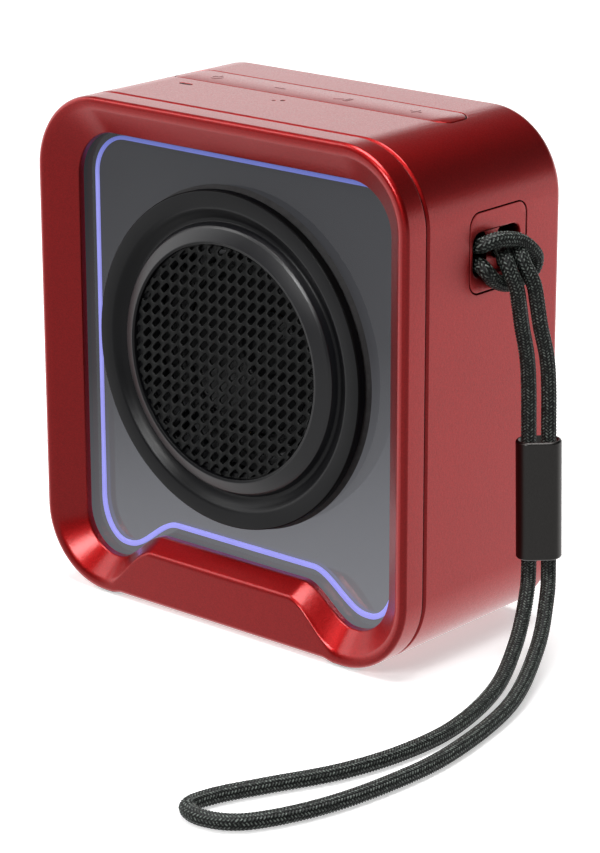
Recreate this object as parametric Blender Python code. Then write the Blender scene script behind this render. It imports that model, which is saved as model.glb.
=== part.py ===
"""Mini party speaker with a lit front window and a wrist lanyard.

Frame: +Z up, front towards -Y, origin under the middle of the body on the plane it stands on.
Lengths are written in millimetres and multiplied by MM, so every mesh is in metres.
"""

import math

import bmesh
import bpy
from mathutils import Matrix, Vector

MM = 0.001

# Driving dimensions of the body
BODY_WIDTH = 92.0
BODY_DEPTH = 46.0
BODY_TOP = 100.0
BODY_FLOOR = 0.25
BODY_RADIUS = 15.5
UNDERSIDE_RELIEF = 0.5
WALL = 2.6
GAP = 0.3
SEAM_GAP = 0.4
FRONT_Y = -BODY_DEPTH / 2
BACK_Y = BODY_DEPTH / 2
SEAM_Y = -17.0

# Stack of layers behind the front bezel, along Y
WINDOW_Y = -18.75
COVER_Y = (-16.9, -15.7)
GUIDE_Y = (-15.4, -14.9)
LED_Y = (-14.6, -12.3)
PANEL_Y = (-14.6, -13.8)
PANEL_CUT_Y = (-16.0, -12.0)
LED_BOARD_Y = (-12.0, -11.4)
BAFFLE_Y = (-11.1, -8.7)
GUIDE_WIDTH = 0.9
LED_BOARD_WIDTH = 4.4

# Front driver and its trim
DRIVER_Z = 53.0
TRIM_BORE = 25.4
GRILLE_RADIUS = 22.45
GRILLE_Y = (-20.75, -20.25)
GRILLE_PITCH = 5.2
CONE_RADIUS = 15.6
ROUND_STEPS = 28
TRIM_STEPS = 40

# Rear
REAR_COVER_Y = (20.3, 22.7)
RADIATOR_Z = 60.0
RADIATOR_OPENING = (27.0, 17.0)
FLAP_HALF = (10.2, 4.25)
FLAP_Z = 17.0
FLAP_Y = (21.8, 22.7)
COLUMN_OFFSET = 9.2 / math.sqrt(2)
COLUMN_RADIUS = 4.0
PILOT_RADIUS = 1.15

# Top keys and openings
KEY_ROW_HALF = 34.0
KEY_ROW_Y = (1.85, 10.75)
KEY_CORNER = 3.0
KEY_CENTRES = {"power": -25.4, "down": -9.1, "play": 6.7, "up": 24.3}
KEY_SPLITS = (-KEY_ROW_HALF, -17.2, -1.2, 15.5, KEY_ROW_HALF)
KEY_CLEARANCE = 0.25
KEY_Z = (98.5, BODY_TOP)
STATUS_AT = (-25.7, -2.3)
STATUS_HALF = (1.55, 0.55)
MIC_HOLES = (("mic_hole_a", -1.0, -2.2, 0.45), ("mic_hole_b", -2.4, -3.2, 0.35))
TOP_CUT_Z = (95.0, 102.0)

# Lanyard
CORD_RADIUS = 1.5
CORD_SPACING = 3.7
LANYARD_TWIST = math.radians(40.9)
HANG_LEAN = 0.036
HANG_AT = Vector((52.3, 9.0, 30.0))
SLEEVE_LENGTH = 23.4
SLEEVE_HALF = (4.3, 2.45)
SLEEVE_BORE_HALF = (3.75, 1.9)
PLATE_Y = (-4.8, 11.8)
PLATE_Z = (70.8, 85.8)
PLATE_CORNER = 2.5
EYE_Y = {"front": -1.1, "rear": 7.2}
EYE_Z = 77.8
EYE_HALF = (2.7, 4.1)
BAR_FRONT_X = 44.75
SPLIT_Z = 64.0
TWIST_GAP = 1.2
SWAY_FROM_Z = 54.0
SWAY = {-1: Vector((-0.3, -1.65, 0.0)), 1: Vector((-0.6, -1.75, 0.0))}

RED = (0.33, 0.018, 0.024)
BLACK = (0.02, 0.02, 0.022)
GREY = (0.17, 0.18, 0.19)


# ---------------------------------------------------------------- scene and materials


def clear_scene():
    for old in list(bpy.data.objects):
        bpy.data.objects.remove(old, do_unlink=True)


def material(name, rgb, roughness, metallic, alpha=1.0):
    found = bpy.data.materials.get(name)
    if found:
        return found
    made = bpy.data.materials.new(name)
    made.use_nodes = True
    shader = made.node_tree.nodes["Principled BSDF"]
    shader.inputs["Base Color"].default_value = (*rgb, 1.0)
    shader.inputs["Roughness"].default_value = roughness
    shader.inputs["Metallic"].default_value = metallic
    shader.inputs["Alpha"].default_value = alpha
    return made


def red_paint():
    return material("red_metallic_paint", RED, 0.35, 0.7)


def black_plastic():
    return material("black_plastic", BLACK, 0.45, 0.0)


def grey_plastic():
    return material("grey_plastic", GREY, 0.5, 0.0)


def steel():
    return material("plated_steel", (0.55, 0.55, 0.56), 0.35, 1.0)


def board_green():
    return material("board_green", (0.02, 0.12, 0.05), 0.5, 0.0)


def black_rubber():
    return material("black_rubber", (0.03, 0.03, 0.03), 0.8, 0.0)


def black_cord():
    return material("black_cord", (0.04, 0.045, 0.042), 0.85, 0.0)


# ---------------------------------------------------------------- building blocks


def link(name, mesh, look, smooth_angle=35.0):
    thing = bpy.data.objects.new(name, mesh)
    bpy.context.scene.collection.objects.link(thing)
    mesh.materials.append(look)
    mesh.shade_smooth()
    mesh.set_sharp_from_angle(angle=math.radians(smooth_angle))
    return thing


def finish_mesh(name, bm):
    bmesh.ops.recalc_face_normals(bm, faces=bm.faces)
    mesh = bpy.data.meshes.new(name)
    bm.to_mesh(mesh)
    bm.free()
    return mesh


def hide_cutter(cutter):
    cutter.hide_render = True
    cutter.display_type = "WIRE"


def combine(target, tool, operation="DIFFERENCE"):
    hide_cutter(tool)
    step = target.modifiers.new(tool.name, "BOOLEAN")
    step.operation = operation
    step.solver = "EXACT"
    step.object = tool


def loft(name, loops, look, ring=False):
    """Skin equal-length closed loops in order; a ring joins the last loop to the first."""
    bm = bmesh.new()
    rows = [[bm.verts.new(p * MM) for p in loop] for loop in loops]
    pairs = list(zip(rows, rows[1:]))
    if ring:
        pairs.append((rows[-1], rows[0]))
    count = len(loops[0])
    for near, far in pairs:
        for i in range(count):
            j = (i + 1) % count
            bm.faces.new((near[i], near[j], far[j], far[i]))
    if not ring:
        bm.faces.new(rows[0])
        bm.faces.new(rows[-1])
    return link(name, finish_mesh(name, bm), look)


def along_y(outline, y):
    return [Vector((x, y, z)) for x, z in outline]


def along_x(outline, x):
    return [Vector((x, y, z)) for y, z in outline]


def along_z(outline, z):
    return [Vector((x, y, z)) for x, y in outline]


def plate_y(name, outline, span, look):
    return loft(name, [along_y(outline, span[0]), along_y(outline, span[1])], look)


def plate_x(name, outline, span, look):
    return loft(name, [along_x(outline, span[0]), along_x(outline, span[1])], look)


def plate_z(name, outline, span, look):
    return loft(name, [along_z(outline, span[0]), along_z(outline, span[1])], look)


def turned(name, profile, look, centre_x=0.0, centre_z=DRIVER_Z, steps=ROUND_STEPS):
    """Spin a closed (radius, y) profile about an axis parallel to Y."""
    bm = bmesh.new()
    corners = [bm.verts.new(Vector((centre_x + r, y, centre_z)) * MM) for r, y in profile]
    edges = []
    for i, corner in enumerate(corners):
        edges.append(bm.edges.new((corner, corners[(i + 1) % len(corners)])))
    axis_point = Vector((centre_x, 0, centre_z)) * MM
    bmesh.ops.spin(
        bm,
        geom=corners + edges,
        cent=axis_point,
        axis=(0, 1, 0),
        angle=2 * math.pi,
        steps=steps,
        use_merge=True,
    )
    bmesh.ops.remove_doubles(bm, verts=bm.verts, dist=1e-6)
    on_axis = [e for e in bm.edges if not e.link_faces]
    bmesh.ops.delete(bm, geom=on_axis, context="EDGES")
    return link(name, finish_mesh(name, bm), look)


def disc_y(name, radius, span, look, centre_x=0.0, centre_z=DRIVER_Z, steps=ROUND_STEPS):
    return plate_y(name, circle(radius, centre_x, centre_z, steps), span, look)


def circle(radius, centre_a, centre_b, steps):
    turn = 2 * math.pi / steps
    return [
        (centre_a + radius * math.cos(turn * i), centre_b + radius * math.sin(turn * i))
        for i in range(steps)
    ]


def arc(centre_a, centre_b, radius_a, radius_b, start_deg, end_deg, steps):
    points = []
    for i in range(steps + 1):
        angle = math.radians(start_deg + (end_deg - start_deg) * i / steps)
        points.append((centre_a + radius_a * math.cos(angle), centre_b + radius_b * math.sin(angle)))
    return points


def rounded_box(centre_a, centre_b, half_a, half_b, radius, steps=4):
    """Closed outline of a rounded rectangle."""
    points = []
    corners = ((1, -1, -90), (1, 1, 0), (-1, 1, 90), (-1, -1, 180))
    for side_a, side_b, start in corners:
        a = centre_a + side_a * (half_a - radius)
        b = centre_b + side_b * (half_b - radius)
        points += arc(a, b, radius, radius, start, start + 90, steps)
    return points


def smooth_step(t):
    return t * t * (3 - 2 * t)


def hump_outline(half_width, top, top_radius, floor, corner, hump_top, hump_from, hump_to):
    """Closed XZ outline with a raised hump in the middle of its bottom side.

    corner is the (x, z) radius pair of the lower corners. The hump is level out to hump_from
    and has run down to the floor at hump_to.
    """
    slope_steps = 5
    corner_steps = 5
    half = [(0.0, hump_top)]
    for i in range(slope_steps + 1):
        share = i / slope_steps
        x = hump_from + (hump_to - hump_from) * share
        half.append((x, floor + (hump_top - floor) * smooth_step(1 - share)))
    half += arc(half_width - corner[0], floor + corner[1], *corner, -90, 0, corner_steps)
    half += arc(half_width - top_radius, top - top_radius, top_radius, top_radius, 0, 90, corner_steps)
    half.append((0.0, top))
    mirrored = [(-x, z) for x, z in reversed(half[1:-1])]
    return half + mirrored


def body_outline(inset):
    radius = BODY_RADIUS - inset
    return hump_outline(
        BODY_WIDTH / 2 - inset,
        BODY_TOP - inset,
        radius,
        BODY_FLOOR + inset,
        (radius, radius),
        BODY_FLOOR + UNDERSIDE_RELIEF + inset,
        26.0,
        29.0,
    )


def crest_outline():
    return hump_outline(44.1, 98.1, 13.2, 2.3, (13.2, 13.2), 11.0, 17.8, 30.5)


def window_outline():
    return hump_outline(39.0, 92.4, 9.5, 6.6, (8.0, 9.0), 13.3, 18.0, 30.2)


def guide_outline(outset):
    """The light line, moved outwards by outset along its own normal."""
    path = hump_outline(37.1, 90.4, 7.8, 8.3, (6.1, 9.0), 14.9, 17.6, 30.6)
    moved = []
    for i, (x, z) in enumerate(path):
        before = path[i - 1]
        after = path[(i + 1) % len(path)]
        run = Vector((after[0] - before[0], after[1] - before[1])).normalized()
        moved.append((x + run.y * outset, z - run.x * outset))
    return moved


def column_centres():
    across = BODY_WIDTH / 2 - BODY_RADIUS + COLUMN_OFFSET
    low = BODY_FLOOR + BODY_RADIUS - COLUMN_OFFSET
    high = BODY_TOP - BODY_RADIUS + COLUMN_OFFSET
    return [(across, low), (-across, low), (-across, high), (across, high)]


# ---------------------------------------------------------------- casing


def front_bezel():
    seat = SEAM_Y - SEAM_GAP
    seat_bevel = 0.15
    roll = 0.95
    roll_middle = roll * (1 - math.sqrt(0.5))
    loops = [
        along_y(body_outline(seat_bevel), seat),
        along_y(body_outline(0.0), seat - seat_bevel),
        along_y(body_outline(0.0), FRONT_Y + roll),
        along_y(body_outline(roll_middle), FRONT_Y + roll_middle),
        along_y(body_outline(roll), FRONT_Y),
        along_y(crest_outline(), FRONT_Y),
        along_y(window_outline(), WINDOW_Y),
        along_y(window_outline(), seat),
    ]
    return loft("front_bezel", loops, red_paint(), ring=True)


def main_shell():
    seam_bevel = 0.45
    back_roll = 1.8
    roll_middle = back_roll * (1 - math.sqrt(0.5))
    loops = [
        along_y(body_outline(seam_bevel), SEAM_Y),
        along_y(body_outline(0.0), SEAM_Y + seam_bevel),
        along_y(body_outline(0.0), BACK_Y - back_roll),
        along_y(body_outline(roll_middle), BACK_Y - roll_middle),
        along_y(body_outline(back_roll), BACK_Y),
        along_y(body_outline(WALL), BACK_Y),
        along_y(body_outline(WALL), SEAM_Y),
    ]
    shell = loft("main_shell", loops, red_paint(), ring=True)
    for i, (x, z) in enumerate(column_centres()):
        span = (BAFFLE_Y[1] + GAP, REAR_COVER_Y[0] - GAP)
        column = disc_y(f"shell_column_{i}", COLUMN_RADIUS, span, red_paint(), x, z, 20)
        combine(shell, column, "UNION")
        pilot_span = (12.0, REAR_COVER_Y[0])
        pilot = disc_y(f"shell_pilot_{i}", PILOT_RADIUS, pilot_span, red_paint(), x, z, 10)
        combine(shell, pilot)
    cut_top_openings(shell)
    cut_lanyard_opening(shell)
    pocket = rounded_box(0.0, 2.0, 23.3, 13.3, 3.3)
    combine(shell, plate_z("foot_pocket", pocket, (-1.0, 1.55), red_paint()))
    return shell


def cut_top_openings(shell):
    row_middle = sum(KEY_ROW_Y) / 2
    row_half = (KEY_ROW_Y[1] - KEY_ROW_Y[0]) / 2
    half_a = KEY_ROW_HALF + KEY_CLEARANCE
    half_b = row_half + KEY_CLEARANCE
    row = rounded_box(0.0, row_middle, half_a, half_b, KEY_CORNER)
    combine(shell, plate_z("key_row_opening", row, TOP_CUT_Z, red_paint()))
    slot = rounded_box(*STATUS_AT, *STATUS_HALF, STATUS_HALF[1] - 0.01, 3)
    combine(shell, plate_z("status_slot", slot, TOP_CUT_Z, red_paint()))
    for name, x, y, radius in MIC_HOLES:
        combine(shell, plate_z(name, circle(radius, x, y, 8), TOP_CUT_Z, red_paint()))


def cut_lanyard_opening(shell):
    clearance = 0.2
    opening = rounded_box(
        sum(PLATE_Y) / 2,
        sum(PLATE_Z) / 2,
        (PLATE_Y[1] - PLATE_Y[0]) / 2 + clearance,
        (PLATE_Z[1] - PLATE_Z[0]) / 2 + clearance,
        PLATE_CORNER,
    )
    combine(shell, plate_x("lanyard_opening", opening, (41.0, 48.0), red_paint()))


def rear_cover():
    cover = plate_y("rear_cover", body_outline(WALL + GAP), REAR_COVER_Y, red_paint())
    opening = rounded_box(0.0, RADIATOR_Z, *RADIATOR_OPENING, RADIATOR_OPENING[1] - 1.0, 6)
    combine(cover, plate_y("radiator_opening", opening, (19.0, 24.0), red_paint()))
    pocket = rounded_box(0.0, FLAP_Z, FLAP_HALF[0] + 0.3, FLAP_HALF[1] + 0.3, 2.6)
    combine(cover, plate_y("flap_pocket", pocket, (FLAP_Y[0] - GAP, 24.0), red_paint()))
    mouth = rounded_box(0.0, FLAP_Z, 5.0, 2.15, 2.1)
    combine(cover, plate_y("port_mouth", mouth, (19.0, 24.0), red_paint()))
    for i, (x, z) in enumerate(column_centres()):
        through = disc_y(f"rear_hole_{i}", PILOT_RADIUS, (19.0, 24.0), red_paint(), x, z, 10)
        combine(cover, through)
        head_room = disc_y(f"rear_counterbore_{i}", 2.15, (21.2, 24.0), red_paint(), x, z, 16)
        combine(cover, head_room)
    return cover


def rear_grille():
    opening = (RADIATOR_OPENING[0] - 0.3, RADIATOR_OPENING[1] - 0.3)
    outline = rounded_box(0.0, RADIATOR_Z, *opening, opening[1] - 1.0, 6)
    grille = plate_y("rear_grille", outline, (21.5, 22.4), black_plastic())
    slots = bmesh.new()
    rows = 5
    for row in range(rows):
        offset = (row - (rows - 1) / 2) * 5.6
        half_length = 22.5 - 0.055 * offset * offset
        bmesh.ops.create_cube(
            slots,
            size=1.0,
            matrix=Matrix.Translation(Vector((0, 22, RADIATOR_Z + offset)) * MM)
            @ Matrix.Diagonal((2 * half_length * MM, 4 * MM, 2.4 * MM, 1.0)),
        )
    cutter = link("rear_grille_slots", finish_mesh("rear_grille_slots", slots), black_plastic())
    combine(grille, cutter)
    return grille


def window_cover():
    clear = material("clear_window", (0.6, 0.62, 0.65), 0.05, 0.0, 0.35)
    cover = plate_y("window_cover", body_outline(WALL + GAP), COVER_Y, clear)
    combine(cover, disc_y("window_bore", TRIM_BORE + GAP, (-18.0, -14.0), clear))
    return cover


def foot_pad():
    return plate_z("foot_pad", rounded_box(0.0, 2.0, 23.0, 13.0, 3.0), (0.0, 1.25), black_rubber())


# ---------------------------------------------------------------- light behind the window


def light_guide():
    glow = material("light_line", (0.45, 0.45, 0.95), 0.3, 0.0)
    outer = guide_outline(GUIDE_WIDTH / 2)
    inner = guide_outline(-GUIDE_WIDTH / 2)
    loops = [
        along_y(outer, GUIDE_Y[0]),
        along_y(outer, GUIDE_Y[1]),
        along_y(inner, GUIDE_Y[1]),
        along_y(inner, GUIDE_Y[0]),
    ]
    return loft("light_guide", loops, glow, ring=True)


def led_places():
    """(x, z, half width, half height) of the three chips under the light line."""
    return [(37.1, 50.0, 0.7, 1.4), (-37.1, 50.0, 0.7, 1.4), (0.0, 90.4, 1.4, 0.7)]


def reflector_panel():
    grey = grey_plastic()
    panel = plate_y("reflector_panel", body_outline(WALL + 0.6), PANEL_Y, grey)
    combine(panel, disc_y("panel_bore", TRIM_BORE + GAP, PANEL_CUT_Y, grey))
    for i, (x, z, half_x, half_z) in enumerate(led_places()):
        opening = rounded_box(x, z, half_x + 0.4, half_z + 0.4, 0.3, 1)
        combine(panel, plate_y(f"led_window_{i}", opening, PANEL_CUT_Y, grey))
    return panel


def leds():
    white = material("led_white", (0.8, 0.8, 0.75), 0.4, 0.0)
    for i, (x, z, half_x, half_z) in enumerate(led_places()):
        plate_y(f"led_{i + 1}", rounded_box(x, z, half_x, half_z, 0.2, 1), LED_Y, white)


def led_board():
    outer = guide_outline(LED_BOARD_WIDTH / 2)
    inner = guide_outline(-LED_BOARD_WIDTH / 2)
    loops = [
        along_y(outer, LED_BOARD_Y[0]),
        along_y(outer, LED_BOARD_Y[1]),
        along_y(inner, LED_BOARD_Y[1]),
        along_y(inner, LED_BOARD_Y[0]),
    ]
    return loft("led_board", loops, board_green(), ring=True)


# ---------------------------------------------------------------- front driver


def trim_ring():
    profile = [
        (TRIM_BORE, -17.95),
        (32.3, -17.95),
        (32.75, -18.5),
        (32.75, -19.5),
        (31.9, -20.06),
        (30.2, -19.6),
        (28.4, -18.6),
        (27.1, -18.15),
        (26.5, -18.5),
        (25.9, -19.7),
        (24.5, -20.7),
        (23.1, -21.2),
        (22.75, -21.0),
        (22.75, -20.0),
        (21.7, -20.0),
        (21.7, -19.2),
        (23.6, -17.2),
        (23.6, BAFFLE_Y[0] - GAP),
        (TRIM_BORE, BAFFLE_Y[0] - GAP),
    ]
    satin = material("satin_black", (0.03, 0.03, 0.034), 0.35, 0.2)
    return turned("trim_ring", profile, satin, steps=TRIM_STEPS)


def trim_gasket():
    profile = [(TRIM_BORE + 0.6, -17.1), (33.4, -17.1), (32.4, -17.75), (TRIM_BORE + 0.6, -17.75)]
    return turned("trim_gasket", profile, black_rubber(), steps=TRIM_STEPS)


def front_grille():
    black = material("black_steel_mesh", (0.04, 0.04, 0.04), 0.5, 0.6)
    grille = disc_y("front_grille", GRILLE_RADIUS, GRILLE_Y, black, steps=TRIM_STEPS)
    cells = bmesh.new()
    reach = int(GRILLE_RADIUS / GRILLE_PITCH) + 1
    half = GRILLE_PITCH * 0.36
    for column in range(-reach, reach + 1):
        for row in range(-reach, reach + 1):
            x = column * GRILLE_PITCH
            z = (row + 0.5 * (column % 2)) * GRILLE_PITCH
            if math.hypot(x, z) > GRILLE_RADIUS - 2.4:
                continue
            centre = Vector((x, GRILLE_Y[0], z + DRIVER_Z)) * MM
            turn = Matrix.Rotation(math.radians(45), 4, "Y")
            size = Matrix.Diagonal((1.5 * half * MM, 3 * MM, 1.5 * half * MM, 1.0))
            bmesh.ops.create_cube(cells, size=1.0, matrix=Matrix.Translation(centre) @ turn @ size)
    cutter = link("front_grille_cells", finish_mesh("front_grille_cells", cells), black)
    combine(grille, cutter)
    return grille


def driver_basket():
    profile = [
        (23.2, -12.6),
        (23.2, -11.4),
        (19.5, -11.4),
        (19.5, -6.5),
        (15.4, -0.4),
        (8.2, -0.4),
        (8.2, -1.2),
        (14.9, -1.2),
        (18.7, -6.8),
        (18.7, -12.6),
    ]
    basket = turned("driver_basket", profile, steel())
    for i in range(4):
        turn = math.radians(90 * i)
        centre = (17.5 * math.cos(turn), DRIVER_Z + 17.5 * math.sin(turn))
        window = rounded_box(*centre, 4.5, 4.5, 1.0, 2)
        combine(basket, plate_y(f"basket_window_{i}", window, (-8.3, -2.4), steel()))
    for i, (x, z) in enumerate(driver_screw_places()):
        combine(basket, disc_y(f"basket_hole_{i}", 1.1, (-13.0, -11.0), steel(), x, z, 10))
    return basket


def driver_screw_places():
    reach = 21.6 / math.sqrt(2)
    signs = ((1, 1), (-1, 1), (-1, -1), (1, -1))
    return [(a * reach, DRIVER_Z + b * reach) for a, b in signs]


def driver_surround():
    """Half-roll ring; its bulge faces forwards."""
    middle = 17.55
    roll = 1.2
    skin = 0.4
    front = [(middle + (roll + skin) * a, -13.1 + (roll + skin) * b) for a, b in half_circle(4)]
    back = [(middle + roll * a, -13.1 + roll * b) for a, b in reversed(half_circle(4))]
    lip = [(middle + roll + 0.1, -12.9), (19.8, -12.9), (19.8, -13.25)]
    return turned("driver_surround", front + back + lip, black_rubber())


def half_circle(steps):
    """Unit half circle on the -Y side, from outside to inside."""
    return [(math.cos(math.pi * i / steps), -math.sin(math.pi * i / steps)) for i in range(steps + 1)]


def driver_cone():
    paper = material("black_paper", (0.035, 0.035, 0.035), 0.7, 0.0)
    rim = CONE_RADIUS
    profile = [(rim, -13.0), (rim, -12.5), (8.0, -6.2), (7.2, -6.2), (7.2, -6.8), (11.0, -9.4)]
    return turned("driver_cone", profile, paper)


def dust_cap():
    profile = [(0.0, -9.7), (2.6, -9.45), (5.0, -8.7), (7.3, -7.4), (7.3, -7.25), (0.0, -7.25)]
    return turned("dust_cap", profile, black_plastic(), steps=24)


def voice_coil():
    copper = material("copper", (0.7, 0.32, 0.18), 0.4, 1.0)
    profile = [(6.35, -5.8), (6.9, -5.8), (6.9, 1.0), (6.35, 1.0)]
    return turned("voice_coil", profile, copper, steps=24)


def driver_spider():
    cloth = material("amber_cloth", (0.45, 0.28, 0.08), 0.8, 0.0)
    steps = 6
    wave = []
    for i in range(steps + 1):
        wave.append((7.3 + (15.9 - 7.3) * i / steps, -3.3 + 0.25 * (-1) ** i))
    front = [(r, y - 0.2) for r, y in wave]
    back = [(r, y + 0.2) for r, y in reversed(wave)]
    return turned("driver_spider", front + back, cloth)


def magnet_system():
    turned("top_plate", [(7.4, -0.1), (13.5, -0.1), (13.5, 2.2), (7.4, 2.2)], steel())
    ferrite = material("ferrite", (0.08, 0.08, 0.085), 0.6, 0.0)
    turned("magnet", [(8.2, 2.5), (13.8, 2.5), (13.8, 6.5), (8.2, 6.5)], ferrite)
    yoke = [(0.0, 9.0), (13.5, 9.0), (13.5, 6.8), (5.9, 6.8), (5.9, -0.1), (0.0, -0.1)]
    turned("yoke", yoke, steel())


def screw(name, x, z, head_y, tip_y, head_radius, look):
    """Pan head at head_y with its shank running towards +Y or -Y as far as tip_y."""
    into = 1.0 if tip_y > head_y else -1.0
    shank = 0.85
    under = head_y + into * 1.0
    profile = [
        (0.0, head_y),
        (head_radius - 0.3, head_y),
        (head_radius, head_y + into * 0.4),
        (head_radius, under),
        (shank, under),
        (shank, tip_y - into * 0.8),
        (0.0, tip_y),
    ]
    return turned(name, profile, look, x, z, 12)


def driver_screws():
    for i, (x, z) in enumerate(driver_screw_places()):
        screw(f"driver_screw_{i + 1}", x, z, -13.9, -9.4, 1.4, black_plastic())


def rear_screws():
    for i, (x, z) in enumerate(column_centres()):
        screw(f"rear_screw_{i + 1}", x, z, 22.55, 13.0, 1.9, steel())


def baffle():
    plate = plate_y("baffle", body_outline(WALL + 0.4), BAFFLE_Y, black_plastic())
    combine(plate, disc_y("baffle_bore", 19.9, (-12.0, -8.0), black_plastic()))
    for i, (x, z) in enumerate(driver_screw_places()):
        combine(plate, disc_y(f"baffle_pilot_{i}", 1.1, (-12.0, -8.0), black_plastic(), x, z, 10))
    return plate


# ---------------------------------------------------------------- passive radiator


def racetrack(inset):
    half_a = RADIATOR_OPENING[0] - inset
    half_b = RADIATOR_OPENING[1] - inset
    return rounded_box(0.0, RADIATOR_Z, half_a, half_b, half_b - 1.0, 6)


def radiator_surround():
    loops = [
        along_y(racetrack(-1.8), 20.0),
        along_y(racetrack(1.5), 20.0),
        along_y(racetrack(2.6), 18.1),
        along_y(racetrack(4.9), 17.3),
        along_y(racetrack(6.4), 18.6),
        along_y(racetrack(6.4), 18.1),
        along_y(racetrack(4.8), 16.8),
        along_y(racetrack(2.2), 17.7),
        along_y(racetrack(1.1), 19.5),
        along_y(racetrack(-1.8), 19.5),
    ]
    return loft("radiator_surround", loops, black_rubber(), ring=True)


def radiator_plate():
    loops = [
        along_y(racetrack(6.8), 17.3),
        along_y(racetrack(6.8), 18.6),
        along_y(racetrack(7.4), 19.0),
    ]
    return loft("radiator_plate", loops, black_plastic())


# ---------------------------------------------------------------- electronics


def main_board():
    return plate_y("main_board", rounded_box(0.0, 17.5, 30.0, 12.5, 1.0, 2), (13.4, 15.0), board_green())


def battery_cell():
    wrap = material("battery_wrap", (0.05, 0.2, 0.45), 0.4, 0.0)
    end = 32.5
    loops = [
        along_x(circle(8.6, 1.2, 13.2, 24), -end),
        along_x(circle(9.1, 1.2, 13.2, 24), -end + 0.5),
        along_x(circle(9.1, 1.2, 13.2, 24), end - 0.5),
        along_x(circle(8.6, 1.2, 13.2, 24), end),
    ]
    return loft("battery_cell", loops, wrap)


def usb_socket():
    outer = rounded_box(0.0, FLAP_Z, 4.5, 1.65, 1.6, 3)
    inner = rounded_box(0.0, FLAP_Z, 4.2, 1.35, 1.3, 3)
    loops = [
        along_y(outer, 15.3),
        along_y(outer, 21.2),
        along_y(inner, 21.2),
        along_y(inner, 16.2),
    ]
    return loft("usb_socket", loops, steel())


def port_flap():
    """Rubber flap over the port; its origin is on the edge it bends along."""
    edge = Vector((-FLAP_HALF[0], FLAP_Y[1], FLAP_Z)) * MM
    flap = plate_y("port_flap", rounded_box(0.0, FLAP_Z, *FLAP_HALF, 2.3), FLAP_Y, black_rubber())
    plug = plate_y("flap_plug", rounded_box(0.0, FLAP_Z, 3.5, 0.9, 0.85, 3), (20.3, 22.2), black_rubber())
    combine(flap, plug, "UNION")
    for thing in (flap, plug):
        thing.data.transform(Matrix.Translation(-edge))
        thing.location = edge
    return flap


# ---------------------------------------------------------------- keys on top


def key_outline(left, right):
    """One stretch of the rounded key row, cut square where it meets its neighbour."""
    low, high = KEY_ROW_Y
    half_gap = GAP / 2
    points = []
    if right >= KEY_ROW_HALF:
        points += arc(right - KEY_CORNER, low + KEY_CORNER, KEY_CORNER, KEY_CORNER, -90, 0, 4)
        points += arc(right - KEY_CORNER, high - KEY_CORNER, KEY_CORNER, KEY_CORNER, 0, 90, 4)
    else:
        points += [(right - half_gap, low), (right - half_gap, high)]
    if left <= -KEY_ROW_HALF:
        points += arc(left + KEY_CORNER, high - KEY_CORNER, KEY_CORNER, KEY_CORNER, 90, 180, 4)
        points += arc(left + KEY_CORNER, low + KEY_CORNER, KEY_CORNER, KEY_CORNER, 180, 270, 4)
    else:
        points += [(left + half_gap, high), (left + half_gap, low)]
    return points


def keys():
    middle_y = sum(KEY_ROW_Y) / 2
    spans = list(zip(KEY_SPLITS, KEY_SPLITS[1:]))
    for (name, x), (left, right) in zip(KEY_CENTRES.items(), spans):
        key = plate_z(f"key_{name}", key_outline(left, right), KEY_Z, red_paint())
        post = plate_z(f"key_post_{name}", circle(1.2, x, middle_y, 12), (97.4, 99.0), red_paint())
        combine(key, post, "UNION")


def key_switches():
    middle_y = sum(KEY_ROW_Y) / 2
    plate_z("button_board", rounded_box(0.0, 6.5, 32.5, 6.0, 1.0, 2), (94.0, 95.0), board_green())
    for i, x in enumerate(KEY_CENTRES.values()):
        case = rounded_box(x, middle_y, 3.0, 1.9, 0.3, 1)
        plate_z(f"tact_switch_{i + 1}", case, (95.3, 96.3), steel())
        cap = circle(0.8, x, middle_y, 12)
        plate_z(f"tact_plunger_{i + 1}", cap, (96.65, 97.1), black_plastic())


def status_lens():
    lens = material("lens_white", (0.75, 0.76, 0.78), 0.2, 0.0)
    half = (STATUS_HALF[0] - 0.25, STATUS_HALF[1] - 0.2)
    return plate_z("status_lens", rounded_box(*STATUS_AT, *half, half[1] - 0.01, 3), (97.6, 99.7), lens)


# ---------------------------------------------------------------- lanyard


def lanyard_plate():
    """Inset plate with two eyes; the bar between them is set back so the cord can loop round it."""
    middle_y = sum(PLATE_Y) / 2
    middle_z = sum(PLATE_Z) / 2
    half_y = (PLATE_Y[1] - PLATE_Y[0]) / 2
    half_z = (PLATE_Z[1] - PLATE_Z[0]) / 2
    outline = rounded_box(middle_y, middle_z, half_y, half_z, PLATE_CORNER)
    plate = plate_x("lanyard_plate", outline, (43.4, 45.95), red_paint())
    for name, centre_y in EYE_Y.items():
        eye = rounded_box(centre_y, EYE_Z, *EYE_HALF, 2.0)
        combine(plate, plate_x(f"lanyard_eye_{name}", eye, (42.0, 47.0), red_paint()))
    middle = sum(EYE_Y.values()) / 2
    reach = EYE_Y["rear"] - middle + EYE_HALF[0]
    recess = rounded_box(middle, EYE_Z, reach, EYE_HALF[1], 2.0)
    combine(plate, plate_x("lanyard_recess", recess, (BAR_FRONT_X, 47.0), red_paint()))
    return plate


def lanyard_cup():
    outer = rounded_box(3.5, 78.3, 8.8, 7.9, 2.0)
    inner = rounded_box(3.5, 78.3, 7.6, 6.7, 1.0)
    loops = [
        along_x(outer, 34.5),
        along_x(outer, 43.1),
        along_x(inner, 43.1),
        along_x(inner, 35.7),
    ]
    return loft("lanyard_cup", loops, black_plastic())


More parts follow.
